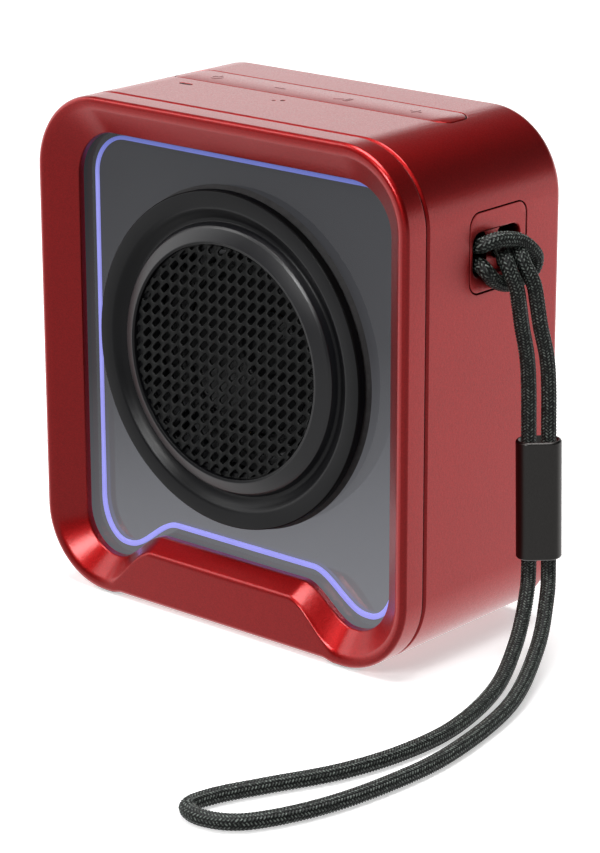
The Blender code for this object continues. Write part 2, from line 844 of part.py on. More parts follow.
def spline(points, steps):
    """Catmull-Rom curve through points, ends included."""
    path = [points[0]] + list(points) + [points[-1]]
    out = []
    for a, b, c, d in zip(path, path[1:], path[2:], path[3:]):
        for i in range(steps):
            t = i / steps
            out.append(
                0.5 * (2 * b + (c - a) * t + (2 * a - 5 * b + 4 * c - d) * t**2)
                + 0.5 * (3 * b - 3 * c + d - a) * t**3
            )
    out.append(points[-1])
    return out


def cord(name, points, steps):
    curve = bpy.data.curves.new(name, "CURVE")
    curve.dimensions = "3D"
    curve.bevel_depth = CORD_RADIUS * MM
    curve.bevel_resolution = 2
    curve.use_fill_caps = True
    path = spline([Vector(p) for p in points], steps)
    line = curve.splines.new("POLY")
    line.points.add(len(path) - 1)
    for point, place in zip(line.points, path):
        point.co = (*(place * MM), 1.0)
    curve.materials.append(black_cord())
    thing = bpy.data.objects.new(name, curve)
    bpy.context.scene.collection.objects.link(thing)
    return thing


def strand_point(height, side):
    """Where one of the two hanging strands is at this height; side is -1 or +1."""
    lean = Vector((0.0, -HANG_LEAN, 1.0)) * (height - HANG_AT.z)
    spread = Vector((math.cos(LANYARD_TWIST), math.sin(LANYARD_TWIST), 0.0))
    return HANG_AT + lean + spread * (side * CORD_SPACING / 2)


def strand_way(height, side):
    """The strand with the bend that its tail still has above SWAY_FROM_Z."""
    rise = max(0.0, height - SWAY_FROM_Z) / 10
    return strand_point(height, side) + SWAY[side] * rise**1.5


def lanyard_knot():
    """The bight that comes out of the front eye and rings the two tails."""
    way = [
        (44.2, -1.0, 79.2),
        (46.6, -1.9, 79.9),
        (48.3, 0.4, 80.7),
        (49.3, 5.5, 79.7),
        (49.6, 9.9, 76.3),
        (48.7, 10.6, 73.4),
        (47.8, 8.2, 71.9),
        (47.75, 4.4, 71.5),
        (47.75, 0.4, 72.9),
        (47.6, -1.9, 75.0),
        (46.2, -1.9, 75.9),
        (44.2, -1.0, 75.8),
    ]
    return cord("lanyard_knot", way, 3)


def lanyard_tails():
    """Both tails from inside the bight to just above the split that the loop twists at."""
    inner = [(50.2, 1.5, 75.4), (51.05, 2.4, 71.9), (50.9, 3.5, 68.6)]
    outer = [(50.9, 4.9, 75.6), (52.2, 6.0, 72.2), (52.7, 6.5, 68.8)]
    for name, way, side in (("inner", inner, -1), ("outer", outer, 1)):
        end = SPLIT_Z + TWIST_GAP / 2
        lower = [strand_way(end + 1.5, side), strand_way(end, side)]
        cord(f"lanyard_tail_{name}", way + lower, 3)


def lanyard_cord():
    """The long loop: down one strand, along the ground, round the end and back up."""
    ground = CORD_RADIUS + 0.1
    inner_ground = [
        (53.2, 4.4, 11.2),
        (57.6, -4.6, 5.8),
        (62.6, -17.0, 2.6),
        (66.2, -33.0, ground),
        (66.4, -47.5, ground),
        (63.4, -61.0, ground),
        (57.6, -73.5, ground),
        (53.6, -82.5, ground),
    ]
    outer_ground = [
        (58.0, -90.2, ground),
        (64.4, -86.6, ground),
        (69.8, -75.0, ground),
        (72.6, -60.0, ground),
        (72.8, -43.0, ground),
        (68.6, -20.8, 2.2),
        (61.6, -3.4, 5.6),
        (56.4, 6.6, 11.4),
    ]
    top = SPLIT_Z - TWIST_GAP / 2
    down = [strand_way(height, -1) for height in (top, top - 1.5, 58.0, 52.0, 42.0, 18.0)]
    up = [strand_way(height, 1) for height in (18.0, 42.0, 52.0, 58.0, top - 1.5, top)]
    way = down + inner_ground + [(53.0, -88.6, ground)] + outer_ground + up
    return cord("lanyard_cord", way, 3)


def lanyard_sleeve():
    gunmetal = material("gunmetal", (0.16, 0.16, 0.17), 0.35, 1.0)

    def stadium(half, inset):
        return rounded_box(0.0, 0.0, half[0] - inset, half[1] - inset, half[1] - inset - 0.05, 5)

    end = SLEEVE_LENGTH / 2
    loops = [
        along_z(stadium(SLEEVE_BORE_HALF, 0.0), -end),
        along_z(stadium(SLEEVE_HALF, 0.25), -end),
        along_z(stadium(SLEEVE_HALF, 0.0), -end + 0.25),
        along_z(stadium(SLEEVE_HALF, 0.0), end - 0.25),
        along_z(stadium(SLEEVE_HALF, 0.25), end),
        along_z(stadium(SLEEVE_BORE_HALF, 0.0), end),
    ]
    sleeve = loft("lanyard_sleeve", loops, gunmetal, ring=True)
    tilt = Matrix.Rotation(math.atan(HANG_LEAN), 4, "X")
    twist = Matrix.Rotation(LANYARD_TWIST, 4, "Z")
    sleeve.matrix_world = Matrix.Translation(HANG_AT * MM) @ tilt @ twist
    return sleeve


def build():
    clear_scene()
    front_bezel()
    main_shell()
    rear_cover()
    rear_grille()
    window_cover()
    foot_pad()
    light_guide()
    reflector_panel()
    leds()
    led_board()
    trim_ring()
    trim_gasket()
    front_grille()
    driver_basket()
    driver_surround()
    driver_cone()
    dust_cap()
    voice_coil()
    driver_spider()
    magnet_system()
    driver_screws()
    rear_screws()
    baffle()
    radiator_surround()
    radiator_plate()
    main_board()
    battery_cell()
    usb_socket()
    port_flap()
    keys()
    key_switches()
    status_lens()
    lanyard_plate()
    lanyard_cup()
    lanyard_knot()
    lanyard_tails()
    lanyard_cord()
    lanyard_sleeve()


build()
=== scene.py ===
"""Looks for the mini party speaker: fine shells, light line, grille, braided lanyard, materials.

Lengths are written in millimetres and multiplied by MM when a mesh is made. The frame is the
CAD model's own: +Z up, the front towards -Y, the origin under the middle of the body.
"""

import math

import bmesh
import bpy
import numpy as np
from mathutils import Matrix, Vector


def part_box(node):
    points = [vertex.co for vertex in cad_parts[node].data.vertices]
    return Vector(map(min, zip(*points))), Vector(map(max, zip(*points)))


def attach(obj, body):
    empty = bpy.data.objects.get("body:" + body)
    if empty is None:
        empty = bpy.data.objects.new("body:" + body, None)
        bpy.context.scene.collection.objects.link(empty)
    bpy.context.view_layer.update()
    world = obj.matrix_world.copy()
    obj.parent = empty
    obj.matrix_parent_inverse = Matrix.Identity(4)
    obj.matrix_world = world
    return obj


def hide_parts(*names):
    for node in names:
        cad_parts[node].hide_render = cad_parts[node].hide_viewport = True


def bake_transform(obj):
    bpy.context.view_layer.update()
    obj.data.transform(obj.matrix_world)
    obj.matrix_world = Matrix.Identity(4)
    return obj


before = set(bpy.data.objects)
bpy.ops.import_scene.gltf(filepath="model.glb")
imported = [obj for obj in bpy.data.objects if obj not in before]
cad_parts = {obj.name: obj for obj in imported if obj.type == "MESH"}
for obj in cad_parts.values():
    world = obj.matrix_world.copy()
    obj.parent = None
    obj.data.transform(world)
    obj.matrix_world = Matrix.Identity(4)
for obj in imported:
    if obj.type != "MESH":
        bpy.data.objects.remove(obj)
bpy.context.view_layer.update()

MM = 0.001
X, Y, Z = 0, 1, 2


def box_mm(name):
    """(lowest, highest) corner of a CAD node in millimetres."""
    low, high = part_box(name)
    return np.array(low) / MM, np.array(high) / MM


def middle_and_half(name):
    low, high = box_mm(name)
    return (low + high) / 2, (high - low) / 2


def span(name, axis):
    """Where a CAD node starts and ends along an axis, in millimetres."""
    low, high = box_mm(name)
    return low[axis], high[axis]


# ---- sizes taken from the frame

HALF_WIDTH = span("front_bezel", X)[1]
TOP = span("main_shell", Z)[1]
FLOOR = span("front_bezel", Z)[0]
FRONT, BEZEL_BACK = span("front_bezel", Y)
SEAM, BACK = span("main_shell", Y)
BAFFLE_BACK = span("baffle", Y)[1]
REAR_FRONT, REAR_BACK = span("rear_cover", Y)
PAD_BOTTOM, PAD_TOP = span("foot_pad", Z)
BODY_RADIUS = 15.5
UNDERSIDE_RELIEF = 0.5
WALL = 2.6
COLUMN_OFFSET = 9.2
BORE_RADIUS = 1.15
FIT_GAP = 0.3
DRIVER_Z = middle_and_half("trim_ring")[0][Z]
KEY_MIDDLE, KEY_HALF_DEPTH = (size[Y] for size in middle_and_half("key_power"))
KEY_ROW_HALF = -span("key_power", X)[0]
KEY_CORNER = 3.0
KEY_CENTRES = {"power": -25.4, "down": -9.1, "play": 6.7, "up": 24.3}
KEY_NECKS = (-17.2, -1.2, 15.5)
MICROPHONES = {"a": (-1.0, -2.2, 0.45), "b": (-2.4, -3.2, 0.35)}
EYE_Z = 77.8
CORD_RADIUS = 1.5
CORD_SPACING = 3.7
LANYARD_TWIST = math.radians(40.9)
HANG_LEAN = 0.036
HANG_AT = Vector(middle_and_half("lanyard_sleeve")[0])
VIEW_AZIMUTH = math.radians(40.91)
VIEW_COSINE, VIEW_SINE = math.cos(VIEW_AZIMUTH), math.sin(VIEW_AZIMUTH)
SMOOTH_ANGLE = 32.0


# ---- node helpers


def feed(made, inputs):
    """Set a node's inputs to values, or link them where an output socket is given."""
    for key, value in inputs.items():
        if isinstance(value, bpy.types.NodeSocket):
            made.id_data.links.new(value, made.inputs[key])
        else:
            made.inputs[key].default_value = value


def node(tree, kind, inputs=None, **settings):
    made = tree.nodes.new(f"ShaderNode{kind}")
    for key, value in settings.items():
        setattr(made, key, value)
    feed(made, inputs or {})
    return made


def start_material(name):
    made = bpy.data.materials.new(name)
    made.use_nodes = True
    tree = made.node_tree
    return made, tree, tree.nodes["Principled BSDF"]


def set_inputs(shader, **inputs):
    """The same as feed, with an underscore for each space in an input's name."""
    feed(shader, {key.replace("_", " "): value for key, value in inputs.items()})


def set_surface(tree, output, socket):
    feed(tree.nodes[output], {"Surface": socket})


def coordinates(tree, kind="Object"):
    return node(tree, "TexCoord").outputs[kind]


def position(tree):
    """Outputs X, Y and Z of the shaded place, in metres."""
    here = node(tree, "NewGeometry").outputs["Position"]
    return node(tree, "SeparateXYZ", {"Vector": here}).outputs


def noise(tree, size_mm, detail=3.0, roughness=0.5, vector=None):
    """Noise whose features are about size_mm across."""
    inputs = {"Scale": 1.0 / (size_mm * MM), "Detail": detail, "Roughness": roughness}
    inputs["Vector"] = vector or coordinates(tree)
    return node(tree, "TexNoise", inputs).outputs["Fac"]


def cells(tree, size_mm):
    """Outputs of a cell pattern whose cells are about size_mm across."""
    inputs = {"Scale": 1.0 / (size_mm * MM), "Vector": coordinates(tree)}
    return node(tree, "TexVoronoi", inputs).outputs


def ramp(source, stops):
    made = node(source.id_data, "ValToRGB", {"Fac": source})
    elements = made.color_ramp.elements
    while len(elements) < len(stops):
        elements.new(0.5)
    for element, (share, colour) in zip(elements, stops):
        element.position = share
        element.color = (*colour, 1.0)
    return made.outputs["Color"]


def remap(source, low, high, start=0.0, end=1.0, curve="LINEAR"):
    """Low up to start, high from end on."""
    inputs = {"Value": source, "From Min": start, "From Max": end, "To Min": low, "To Max": high}
    return node(source.id_data, "MapRange", inputs, interpolation_type=curve).outputs["Result"]


def soft_step(source, low, high, start, end):
    return remap(source, low, high, start, end, "SMOOTHSTEP")


def calculate(operation, *values):
    tree = next(value.id_data for value in values if isinstance(value, bpy.types.NodeSocket))
    return node(tree, "Math", dict(enumerate(values)), operation=operation).outputs["Value"]


def along_direction(source, direction):
    inputs = {0: source, 1: direction}
    return node(source.id_data, "VectorMath", inputs, operation="DOT_PRODUCT").outputs["Value"]


def bump(source, strength, depth_mm, under=None):
    inputs = {"Height": source, "Strength": strength, "Distance": depth_mm * MM}
    if under:
        inputs["Normal"] = under
    return node(source.id_data, "Bump", inputs).outputs["Normal"]


def mix_shaders(share, first, second):
    return node(share.id_data, "MixShader", {0: share, 1: first, 2: second}).outputs["Shader"]


def ray_is(tree, kind):
    return node(tree, "LightPath").outputs[f"Is {kind} Ray"]


# ---- materials


def red_paint(name="red_paint", base=(0.5, 0.006, 0.007), dark=(0.38, 0.003, 0.004)):
    """Metallic red: a base coat with fine flakes under a lacquer, on a lightly blasted skin.

    Seams and slots get painted shade: their colour is darkened and their lacquer thinned where shade falls.
    """
    made, tree, shader = start_material(name)
    flakes = node(tree, "SeparateColor", {"Color": cells(tree, 0.16)["Color"]}).outputs
    tone = calculate("MULTIPLY_ADD", noise(tree, 12.0, 2.0), 0.35, flakes["Red"])
    colour = ramp(tone, [(0.15, dark), (1.0, base)])
    # painted shade: occlusion darkens the colour towards near-black and thins the lacquer in seams and slots
    crease_occlusion = node(tree, "AmbientOcclusion", {"Distance": 0.9 * MM}, samples=6)
    unshaded_share = soft_step(crease_occlusion.outputs["AO"], 0.05, 1.0, 0.35, 0.8)
    shades = {"Factor": unshaded_share, "A": (0.004, 0.0, 0.0, 1.0), "B": colour}
    painted_shade_colour = node(tree, "Mix", shades, data_type="RGBA").outputs["Result"]
    skin = bump(noise(tree, 0.55, 3.0, 0.6), 0.5, 0.045)
    flake_tilt = bump(flakes["Blue"], 0.12, 0.01, skin)
    shine = remap(flakes["Green"], 0.38, 0.5)
    lacquer = remap(unshaded_share, 0.0, 0.8)
    set_inputs(shader, Base_Color=painted_shade_colour, Metallic=1.0, Roughness=shine, Normal=flake_tilt)
    set_inputs(shader, Coat_Weight=lacquer, Coat_Roughness=0.22, Coat_IOR=1.55, Coat_Normal=skin)
    return made


def plastic(name, colour, roughness, grain_mm=0.3, depth_mm=0.02, coat=0.0, strength=0.3, shine=0.5):
    """Moulded plastic with a fine spark-eroded grain and slow changes of gloss."""
    made, tree, shader = start_material(name)
    slow = noise(tree, 14.0, 2.0)
    lighter = tuple(min(1.0, c * 1.35 + 0.002) for c in colour)
    tint = ramp(slow, [(0.3, colour), (0.75, lighter)])
    gloss = remap(slow, roughness - 0.05, roughness + 0.05)
    grain = bump(noise(tree, grain_mm, 3.0, 0.6), strength, depth_mm)
    set_inputs(shader, Base_Color=tint, Roughness=gloss, Normal=grain)
    set_inputs(shader, Coat_Weight=coat, Coat_Roughness=0.15, Specular_IOR_Level=shine)
    return made


def rubber():
    made, tree, shader = start_material("black_rubber")
    dust = noise(tree, 1.6, 5.0, 0.65)
    colour = ramp(dust, [(0.35, (0.014, 0.014, 0.015)), (0.8, (0.04, 0.04, 0.041))])
    grain = bump(noise(tree, 0.12, 2.0), 0.25, 0.015)
    set_inputs(shader, Base_Color=colour, Roughness=remap(dust, 0.6, 0.8), Normal=grain)
    return made


def metal(name, colour, roughness, stretch=(1.0, 1.0, 1.0), size_mm=0.25, depth_mm=0.006):
    """Bare or plated metal with a drawn or brushed grain along the axis that is scaled least."""
    made, tree, shader = start_material(name)
    mapping = node(tree, "Mapping", {"Vector": coordinates(tree), "Scale": stretch})
    lines = noise(tree, size_mm, vector=mapping.outputs["Vector"])
    darker = tuple(c * 0.75 for c in colour)
    tint = ramp(lines, [(0.3, darker), (0.7, colour)])
    gloss = remap(lines, roughness - 0.08, roughness + 0.08)
    brushed = bump(lines, 0.2, depth_mm)
    set_inputs(shader, Base_Color=tint, Metallic=1.0, Roughness=gloss, Normal=brushed)
    return made


def window_clear():
    """Thin clear cover: see-through, with a clear-coat reflection that grows at a slant."""
    made, tree, shader = start_material("clear_window")
    tree.nodes.remove(shader)
    through = node(tree, "BsdfTransparent", {"Color": (0.9, 0.91, 0.93, 1.0)})
    smear = remap(noise(tree, 30.0, 2.0), 0.02, 0.06)
    mirror = node(tree, "BsdfGlossy", {"Roughness": smear})
    edge = node(tree, "Fresnel", {"IOR": 1.49}).outputs["Fac"]
    inside = node(tree, "NewGeometry").outputs["Backfacing"]
    share = calculate("MULTIPLY", edge, calculate("SUBTRACT", 1.0, inside))
    mix = mix_shaders(share, through.outputs["BSDF"], mirror.outputs["BSDF"])
    set_surface(tree, "Material Output", mix)
    return made


def smoked_panel():
    """Grey diffuser under a clear gloss that grows towards its foot; a painted glow, though it is no lamp,
    stands in for its light, darker at the top and paler towards its foot.
    """
    made, tree, shader = start_material("grey_panel")
    here = position(tree)
    depth = calculate("SUBTRACT", calculate("MULTIPLY", here["X"], 0.25), here["Z"])
    share = remap(depth, 0.0, 1.0, -0.092, -0.004)
    stops = [(0.0, (0.038, 0.038, 0.04)), (0.45, (0.066, 0.065, 0.068)), (1.0, (0.21, 0.208, 0.218))]
    # painted light: the panel's emitted glow, darker at the top and paler lower down, stands in for the light
    # falling on it
    painted_light_glow = ramp(share, stops)
    tint = ramp(noise(tree, 40.0, 2.0), [(0.3, (0.03, 0.03, 0.032)), (0.7, (0.036, 0.036, 0.038))])
    gloss = soft_step(share, 0.0, 1.0, 0.45, 0.85)
    set_inputs(shader, Base_Color=tint, Roughness=0.6, Specular_IOR_Level=0.1)
    set_inputs(shader, Emission_Color=painted_light_glow, Emission_Strength=1.0)
    set_inputs(shader, Coat_Weight=gloss, Coat_Roughness=0.01, Coat_IOR=1.9)
    return made


def light_line():
    """Lit diffuser, bluer towards the top; it throws less light around than it shows."""
    made, tree, shader = start_material("light_line")
    height = remap(position(tree)["Z"], 0.0, 1.0, 0.0, 0.095)
    stops = [(0.0, (0.33, 0.32, 0.82)), (0.85, (0.3, 0.3, 0.76)), (0.95, (0.14, 0.165, 0.5))]
    colour = ramp(height, stops)
    power = remap(noise(tree, 5.0, 2.0), 0.9, 1.1)
    spill = remap(ray_is(tree, "Diffuse"), 1.0, 0.12)
    shown = calculate("MULTIPLY", power, spill)
    set_inputs(shader, Base_Color=colour, Roughness=0.35, Emission_Color=colour, Emission_Strength=shown)
    return made


def circuit_board():
    """Green solder mask with copper tracks showing through as raised paler bands."""
    made, tree, shader = start_material("circuit_board")
    inputs = {"Vector": coordinates(tree), "Scale": 1.0 / (1.6 * MM), "Mortar Size": 0.06}
    inputs.update({"Color1": (0.008, 0.07, 0.025, 1), "Color2": (0.012, 0.09, 0.034, 1)})
    inputs["Mortar"] = (0.03, 0.17, 0.06, 1)
    tracks = node(tree, "TexBrick", inputs).outputs
    raised = bump(tracks["Fac"], 0.3, 0.03)
    set_inputs(shader, Base_Color=tracks["Color"], Roughness=0.35, Coat_Weight=0.4, Normal=raised)
    return made


def woven(name, dark, pale, cell_mm):
    made, tree, shader = start_material(name)
    threads = cells(tree, cell_mm)["Distance"]
    tint = ramp(threads, [(0.1, pale), (0.7, dark)])
    relief = bump(threads, 0.4, 0.05)
    set_inputs(shader, Base_Color=tint, Roughness=0.8, Sheen_Weight=0.3, Normal=relief)
    return made


def cord_yarn():
    """Black braided yarn; painted highlights make the crowns of its strands paler, as grey-green flecks."""
    made, tree, shader = start_material("cord_yarn")
    crown = node(tree, "Attribute", attribute_name="crown").outputs["Fac"]
    chance = ramp(noise(tree, 0.5, 2.0, 0.6), [(0.38, (0.45, 0.45, 0.45)), (0.6, (1, 1, 1))])
    # painted highlight: the crowns of the strands, where glints would be, are coloured paler
    painted_glint = calculate("MULTIPLY", crown, chance)
    stops = [(0.22, (0.003, 0.0034, 0.0034)), (0.55, (0.04, 0.047, 0.042)), (0.95, (0.26, 0.3, 0.27))]
    filaments = bump(noise(tree, 0.1, 2.0), 0.4, 0.03)
    set_inputs(shader, Base_Color=ramp(painted_glint, stops), Normal=filaments)
    set_inputs(shader, Roughness=0.45, Specular_IOR_Level=0.35)
    return made


def room_sweep(behind, front, back):
    """Brightness by direction: behind runs from -1, the camera's side, to 1."""
    return soft_step(behind, front, back, -0.25, 0.3)


def floor_white():
    """White sweep; what the object mirrors of it is bright behind and dark on the camera's side.

    From below it is see-through.
    """
    made, tree, shader = start_material("studio_floor")
    tint = ramp(noise(tree, 400.0, 1.0), [(0.0, (0.9, 0.9, 0.9)), (1.0, (0.93, 0.93, 0.93))])
    set_inputs(shader, Base_Color=tint, Roughness=0.6, Emission_Color=(1, 1, 1, 1), Emission_Strength=0.5)
    seen_from = node(tree, "NewGeometry").outputs
    behind = along_direction(seen_from["Incoming"], (VIEW_SINE, -VIEW_COSINE, 0.0))
    mirrored = node(tree, "Emission", {"Strength": room_sweep(behind, 0.4, 1.05)})
    seen = mix_shaders(ray_is(tree, "Camera"), mirrored.outputs["Emission"], shader.outputs["BSDF"])
    through = node(tree, "BsdfTransparent").outputs["BSDF"]
    set_surface(tree, "Material Output", mix_shaders(seen_from["Backfacing"], seen, through))
    return made


RED = red_paint()
RED_PALE = red_paint("red_paint_icons", (0.55, 0.06, 0.07), (0.42, 0.03, 0.035))
SATIN = plastic("satin_black", (0.0035, 0.0035, 0.0045), 0.36, 0.28, 0.014, strength=0.4, shine=0.38)
MATT = plastic("matt_black", (0.006, 0.006, 0.007), 0.5, 0.35, 0.03)
MESH_BLACK = plastic("mesh_black", (0.004, 0.0044, 0.0044), 0.42, 0.2, 0.03, strength=0.5, shine=0.22)
GLOSSY_BLACK = plastic("glossy_black", (0.0035, 0.0035, 0.0055), 0.33, 0.28, 0.014, strength=0.4, shine=0.95)
DEEP_BLACK = plastic("deep_black", (0.002, 0.002, 0.002), 0.6, 0.35, 0.02, shine=0.08)
RUBBER = rubber()
YARN = cord_yarn()
GUNMETAL = metal("gunmetal", (0.095, 0.091, 0.088), 0.32, (6.0, 6.0, 0.5))
STEEL = metal("plated_steel", (0.55, 0.55, 0.57), 0.35, (1.0, 0.2, 1.0))
BLACK_STEEL = metal("black_steel", (0.06, 0.06, 0.065), 0.4)
LIGHT = light_line()
LENS = plastic("lens_white", (0.5, 0.5, 0.52), 0.25, 0.6, 0.005, coat=0.6)
LENS_DARK = plastic("lens_dark", (0.003, 0.003, 0.003), 0.5, 0.6, 0.005, shine=0.12)
WINDOW = window_clear()
PANEL = smoked_panel()
BOARD = circuit_board()
FERRITE = plastic("ferrite", (0.05, 0.05, 0.053), 0.6, 0.15, 0.03)
COPPER = metal("copper", (0.75, 0.3, 0.16), 0.3, (0.1, 8.0, 0.1), 0.4, 0.03)
CLOTH = woven("amber_cloth", (0.16, 0.08, 0.02), (0.42, 0.25, 0.07), 0.35)
WRAP = plastic("battery_wrap", (0.02, 0.08, 0.3), 0.3, 2.0, 0.01, coat=0.5)


# ---- outlines


def arc(centre_a, centre_b, radius_a, radius_b, start_deg, end_deg, steps):
    points = []
    for i in range(steps + 1):
        angle = math.radians(start_deg + (end_deg - start_deg) * i / steps)
        points.append((centre_a + radius_a * math.cos(angle), centre_b + radius_b * math.sin(angle)))
    return points


def circle(radius, centre_a=0.0, centre_b=0.0, steps=48):
    return arc(centre_a, centre_b, radius, radius, 0, 360, steps)[:-1]


def rounded_box(centre_a, centre_b, half_a, half_b, radius, steps=10):
    points = []
    for side_a, side_b, start in ((1, -1, -90), (1, 1, 0), (-1, 1, 90), (-1, -1, 180)):
        a = centre_a + side_a * (half_a - radius)
        b = centre_b + side_b * (half_b - radius)
        points += arc(a, b, radius, radius, start, start + 90, steps)
    return points


def box_outline(name, a, b, corner, steps=10):
    """A function of grow: the rounded outline of a CAD node's box in the plane of axes a and b."""
    middle, half = middle_and_half(name)

    def outline(grow):
        return rounded_box(middle[a], middle[b], half[a] + grow, half[b] + grow, corner + grow, steps)

    return outline


def smooth_step(t):
    t = max(0.0, min(1.0, t))
    return t * t * (3 - 2 * t)


def hump_outline(half_width, top, top_radius, floor, corner, hump_top, hump_from, hump_to):
    """Closed XZ outline, the bottom side raised in the middle, as the CAD casing has it."""
    slope_steps = 16
    corner_steps = 20
    side_steps = 6
    half = [(0.0, hump_top)]
    for i in range(slope_steps + 1):
        share = i / slope_steps
        x = hump_from + (hump_to - hump_from) * share
        half.append((x, floor + (hump_top - floor) * smooth_step(1 - share)))
    half += arc(half_width - corner[0], floor + corner[1], *corner, -90, 0, corner_steps)
    low, high = floor + corner[1], top - top_radius
    half += [(half_width, low + (high - low) * i / side_steps) for i in range(1, side_steps)]
    half += arc(half_width - top_radius, high, top_radius, top_radius, 0, 90, corner_steps)
    half.append((0.0, top))
    return half + [(-x, z) for x, z in reversed(half[1:-1])]


def body_outline(inset):
    radius = BODY_RADIUS - inset
    underside = FLOOR + UNDERSIDE_RELIEF + inset
    corner = (radius, radius)
    return hump_outline(HALF_WIDTH - inset, TOP - inset, radius, FLOOR + inset, corner, underside, 26.0, 29.0)


CREST = hump_outline(
    half_width=44.1, top=98.1, top_radius=13.2, floor=2.3,
    corner=(13.2, 13.2), hump_top=11.0, hump_from=17.8, hump_to=30.5,
)
WINDOW_EDGE = hump_outline(
    half_width=39.0, top=92.4, top_radius=9.5, floor=6.6,
    corner=(8.0, 9.0), hump_top=13.3, hump_from=18.0, hump_to=30.2,
)
LIGHT_PATH = hump_outline(
    half_width=37.55, top=90.9, top_radius=7.8, floor=8.3,
    corner=(6.1, 9.0), hump_top=14.9, hump_from=17.6, hump_to=30.6,
)


def light_outline(outset):
    """The light's path moved outwards by outset along its own normal, and more near the foot."""
    widest, widens_below, over = 0.4, 24.0, 12.0
    moved = []
    for i, (x, z) in enumerate(LIGHT_PATH):
        before = LIGHT_PATH[i - 1]
        after = LIGHT_PATH[(i + 1) % len(LIGHT_PATH)]
        run = Vector((after[0] - before[0], after[1] - before[1])).normalized()
        wide = outset * (1.0 + widest * smooth_step((widens_below - z) / over))
        moved.append((x + run.y * wide, z - run.x * wide))
    return moved


def shell_top(x):
    """Height of the casing's top face above x."""
    reach = max(0.0, abs(x) - (HALF_WIDTH - BODY_RADIUS))
    return TOP - BODY_RADIUS + math.sqrt(BODY_RADIUS**2 - reach**2)


def along_x(outline, x):
    return np.array([(x, y, z) for y, z in outline])


def along_y(outline, y):
    return np.array([(x, y, z) for x, z in outline])


def along_z(outline, z):
    return np.array([(x, y, z) for x, y in outline])


def stack(outline, levels, along=along_y, base=0.0):
    """Loops of outline(grow) at each (grow, level) above base."""
    return [along(outline(grow), base + level) for grow, level in levels]


def prism(outline, low, high, along=along_y):
    return [along(outline, low), along(outline, high)]


# ---- mesh helpers


def add_object(name, data):
    made = bpy.data.objects.new(name, data)
    bpy.context.scene.collection.objects.link(made)
    return made


def smooth(mesh, angle=SMOOTH_ANGLE):
    mesh.shade_smooth()
    mesh.set_sharp_from_angle(angle=math.radians(angle))


def mesh_from(name, points, faces, look, smooth_angle=SMOOTH_ANGLE):
    """Object from millimetre points; faces are turned outwards."""
    mesh = bpy.data.meshes.new(name)
    mesh.from_pydata((np.asarray(points) * MM).tolist(), [], faces)
    bm = bmesh.new()
    bm.from_mesh(mesh)
    bmesh.ops.recalc_face_normals(bm, faces=bm.faces)
    bm.to_mesh(mesh)
    bm.free()
    mesh.materials.append(look)
    smooth(mesh, smooth_angle)
    return add_object(name, mesh)


def soften(loops, radii, steps=4, ring=True):
    """Round each loop's crease with a short curve that starts and ends radii[k] away from it."""
    count = len(loops)
    out = []
    for k, (loop, radius) in enumerate(zip(loops, radii)):
        at_end = not ring and k in (0, count - 1)
        if radius <= 0 or at_end:
            out.append(loop)
            continue
        before = loops[k - 1] - loop
        after = loops[(k + 1) % count] - loop
        before /= np.linalg.norm(before, axis=1)[:, None]
        after /= np.linalg.norm(after, axis=1)[:, None]
        start = loop + before * radius
        end = loop + after * radius
        for i in range(steps + 1):
            t = i / steps
            out.append((1 - t) ** 2 * start + 2 * t * (1 - t) * loop + t**2 * end)
    return out


def loft(name, loops, look, ring=False):
    """Skin equal-length closed loops in order; a ring joins the last to the first."""
    count = len(loops[0])
    rows = [(k, k + 1) for k in range(len(loops) - 1)]
    if ring:
        rows.append((len(loops) - 1, 0))
    faces = []
    for near, far in rows:
        for i in range(count):
            j = (i + 1) % count
            faces.append((near * count + i, near * count + j, far * count + j, far * count + i))
    if not ring:
        faces.append(tuple(range(count)))
        faces.append(tuple(range((len(loops) - 1) * count, len(loops) * count)))
    return mesh_from(name, np.concatenate(loops), faces, look)


def spun(profile, centre_x, centre_z, steps):
    """Loops of (radius, y) points turned about a line parallel to Y."""
    angles = np.linspace(0, 2 * math.pi, steps, endpoint=False)
    across, up = np.cos(angles), np.sin(angles)
    return [np.stack([centre_x + r * across, np.full(steps, y), centre_z + r * up], 1) for r, y in profile]


def turned_ring(name, profile, radii, look, steps):
    """Closed (radius, y) profile spun about the driver's axis, its creases rounded."""
    section = np.concatenate(soften([np.array([point]) for point in profile], radii, 3))
    return loft(name, spun(section, 0.0, DRIVER_Z, steps), look, ring=True)


def turned_solid(name, profile, look, centre_x, centre_z, steps=32):
    """Open (radius, y) profile spun about a line parallel to Y and capped at both ends."""
    return loft(name, spun(profile, centre_x, centre_z, steps), look)


def combine(target, tools, operation="DIFFERENCE"):
    """Cut or join the tools, then remove them."""
    for tool in tools:
        step = target.modifiers.new(tool.name, "BOOLEAN")
        step.operation = operation
        step.solver = "EXACT"
        step.object = tool
    graph = bpy.context.evaluated_depsgraph_get()
    result = bpy.data.meshes.new_from_object(target.evaluated_get(graph))
    target.modifiers.clear()
    target.data = result
    smooth(result)
    for tool in tools:
        bpy.data.objects.remove(tool)


def even_shading(target):
    """Flat faces keep flat shading beside their rounded edges."""
    step = target.modifiers.new("even_shading", "WEIGHTED_NORMAL")
    step.keep_sharp = True
    step.weight = 80


def place(made, body, slot, *stands_for):
    """Tie a finished piece to its CAD body and hide the CAD nodes it stands for; slot is not used."""
    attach(made, body)
    if stands_for:
        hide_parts(*stands_for)


# ---- casing

SHELL_EDGE = ((0.0, -5.0), (0.0, -0.12), (0.12, 0.0), (1.0, 0.9))
REAR_EDGE = ((0.0, -0.15), (0.15, 0.0), (1.0, 0.85))
EYE_EDGE = ((0.0, -0.4), (0.06, -0.2), (0.2, -0.06), (0.4, 0.0), (1.3, 0.4))

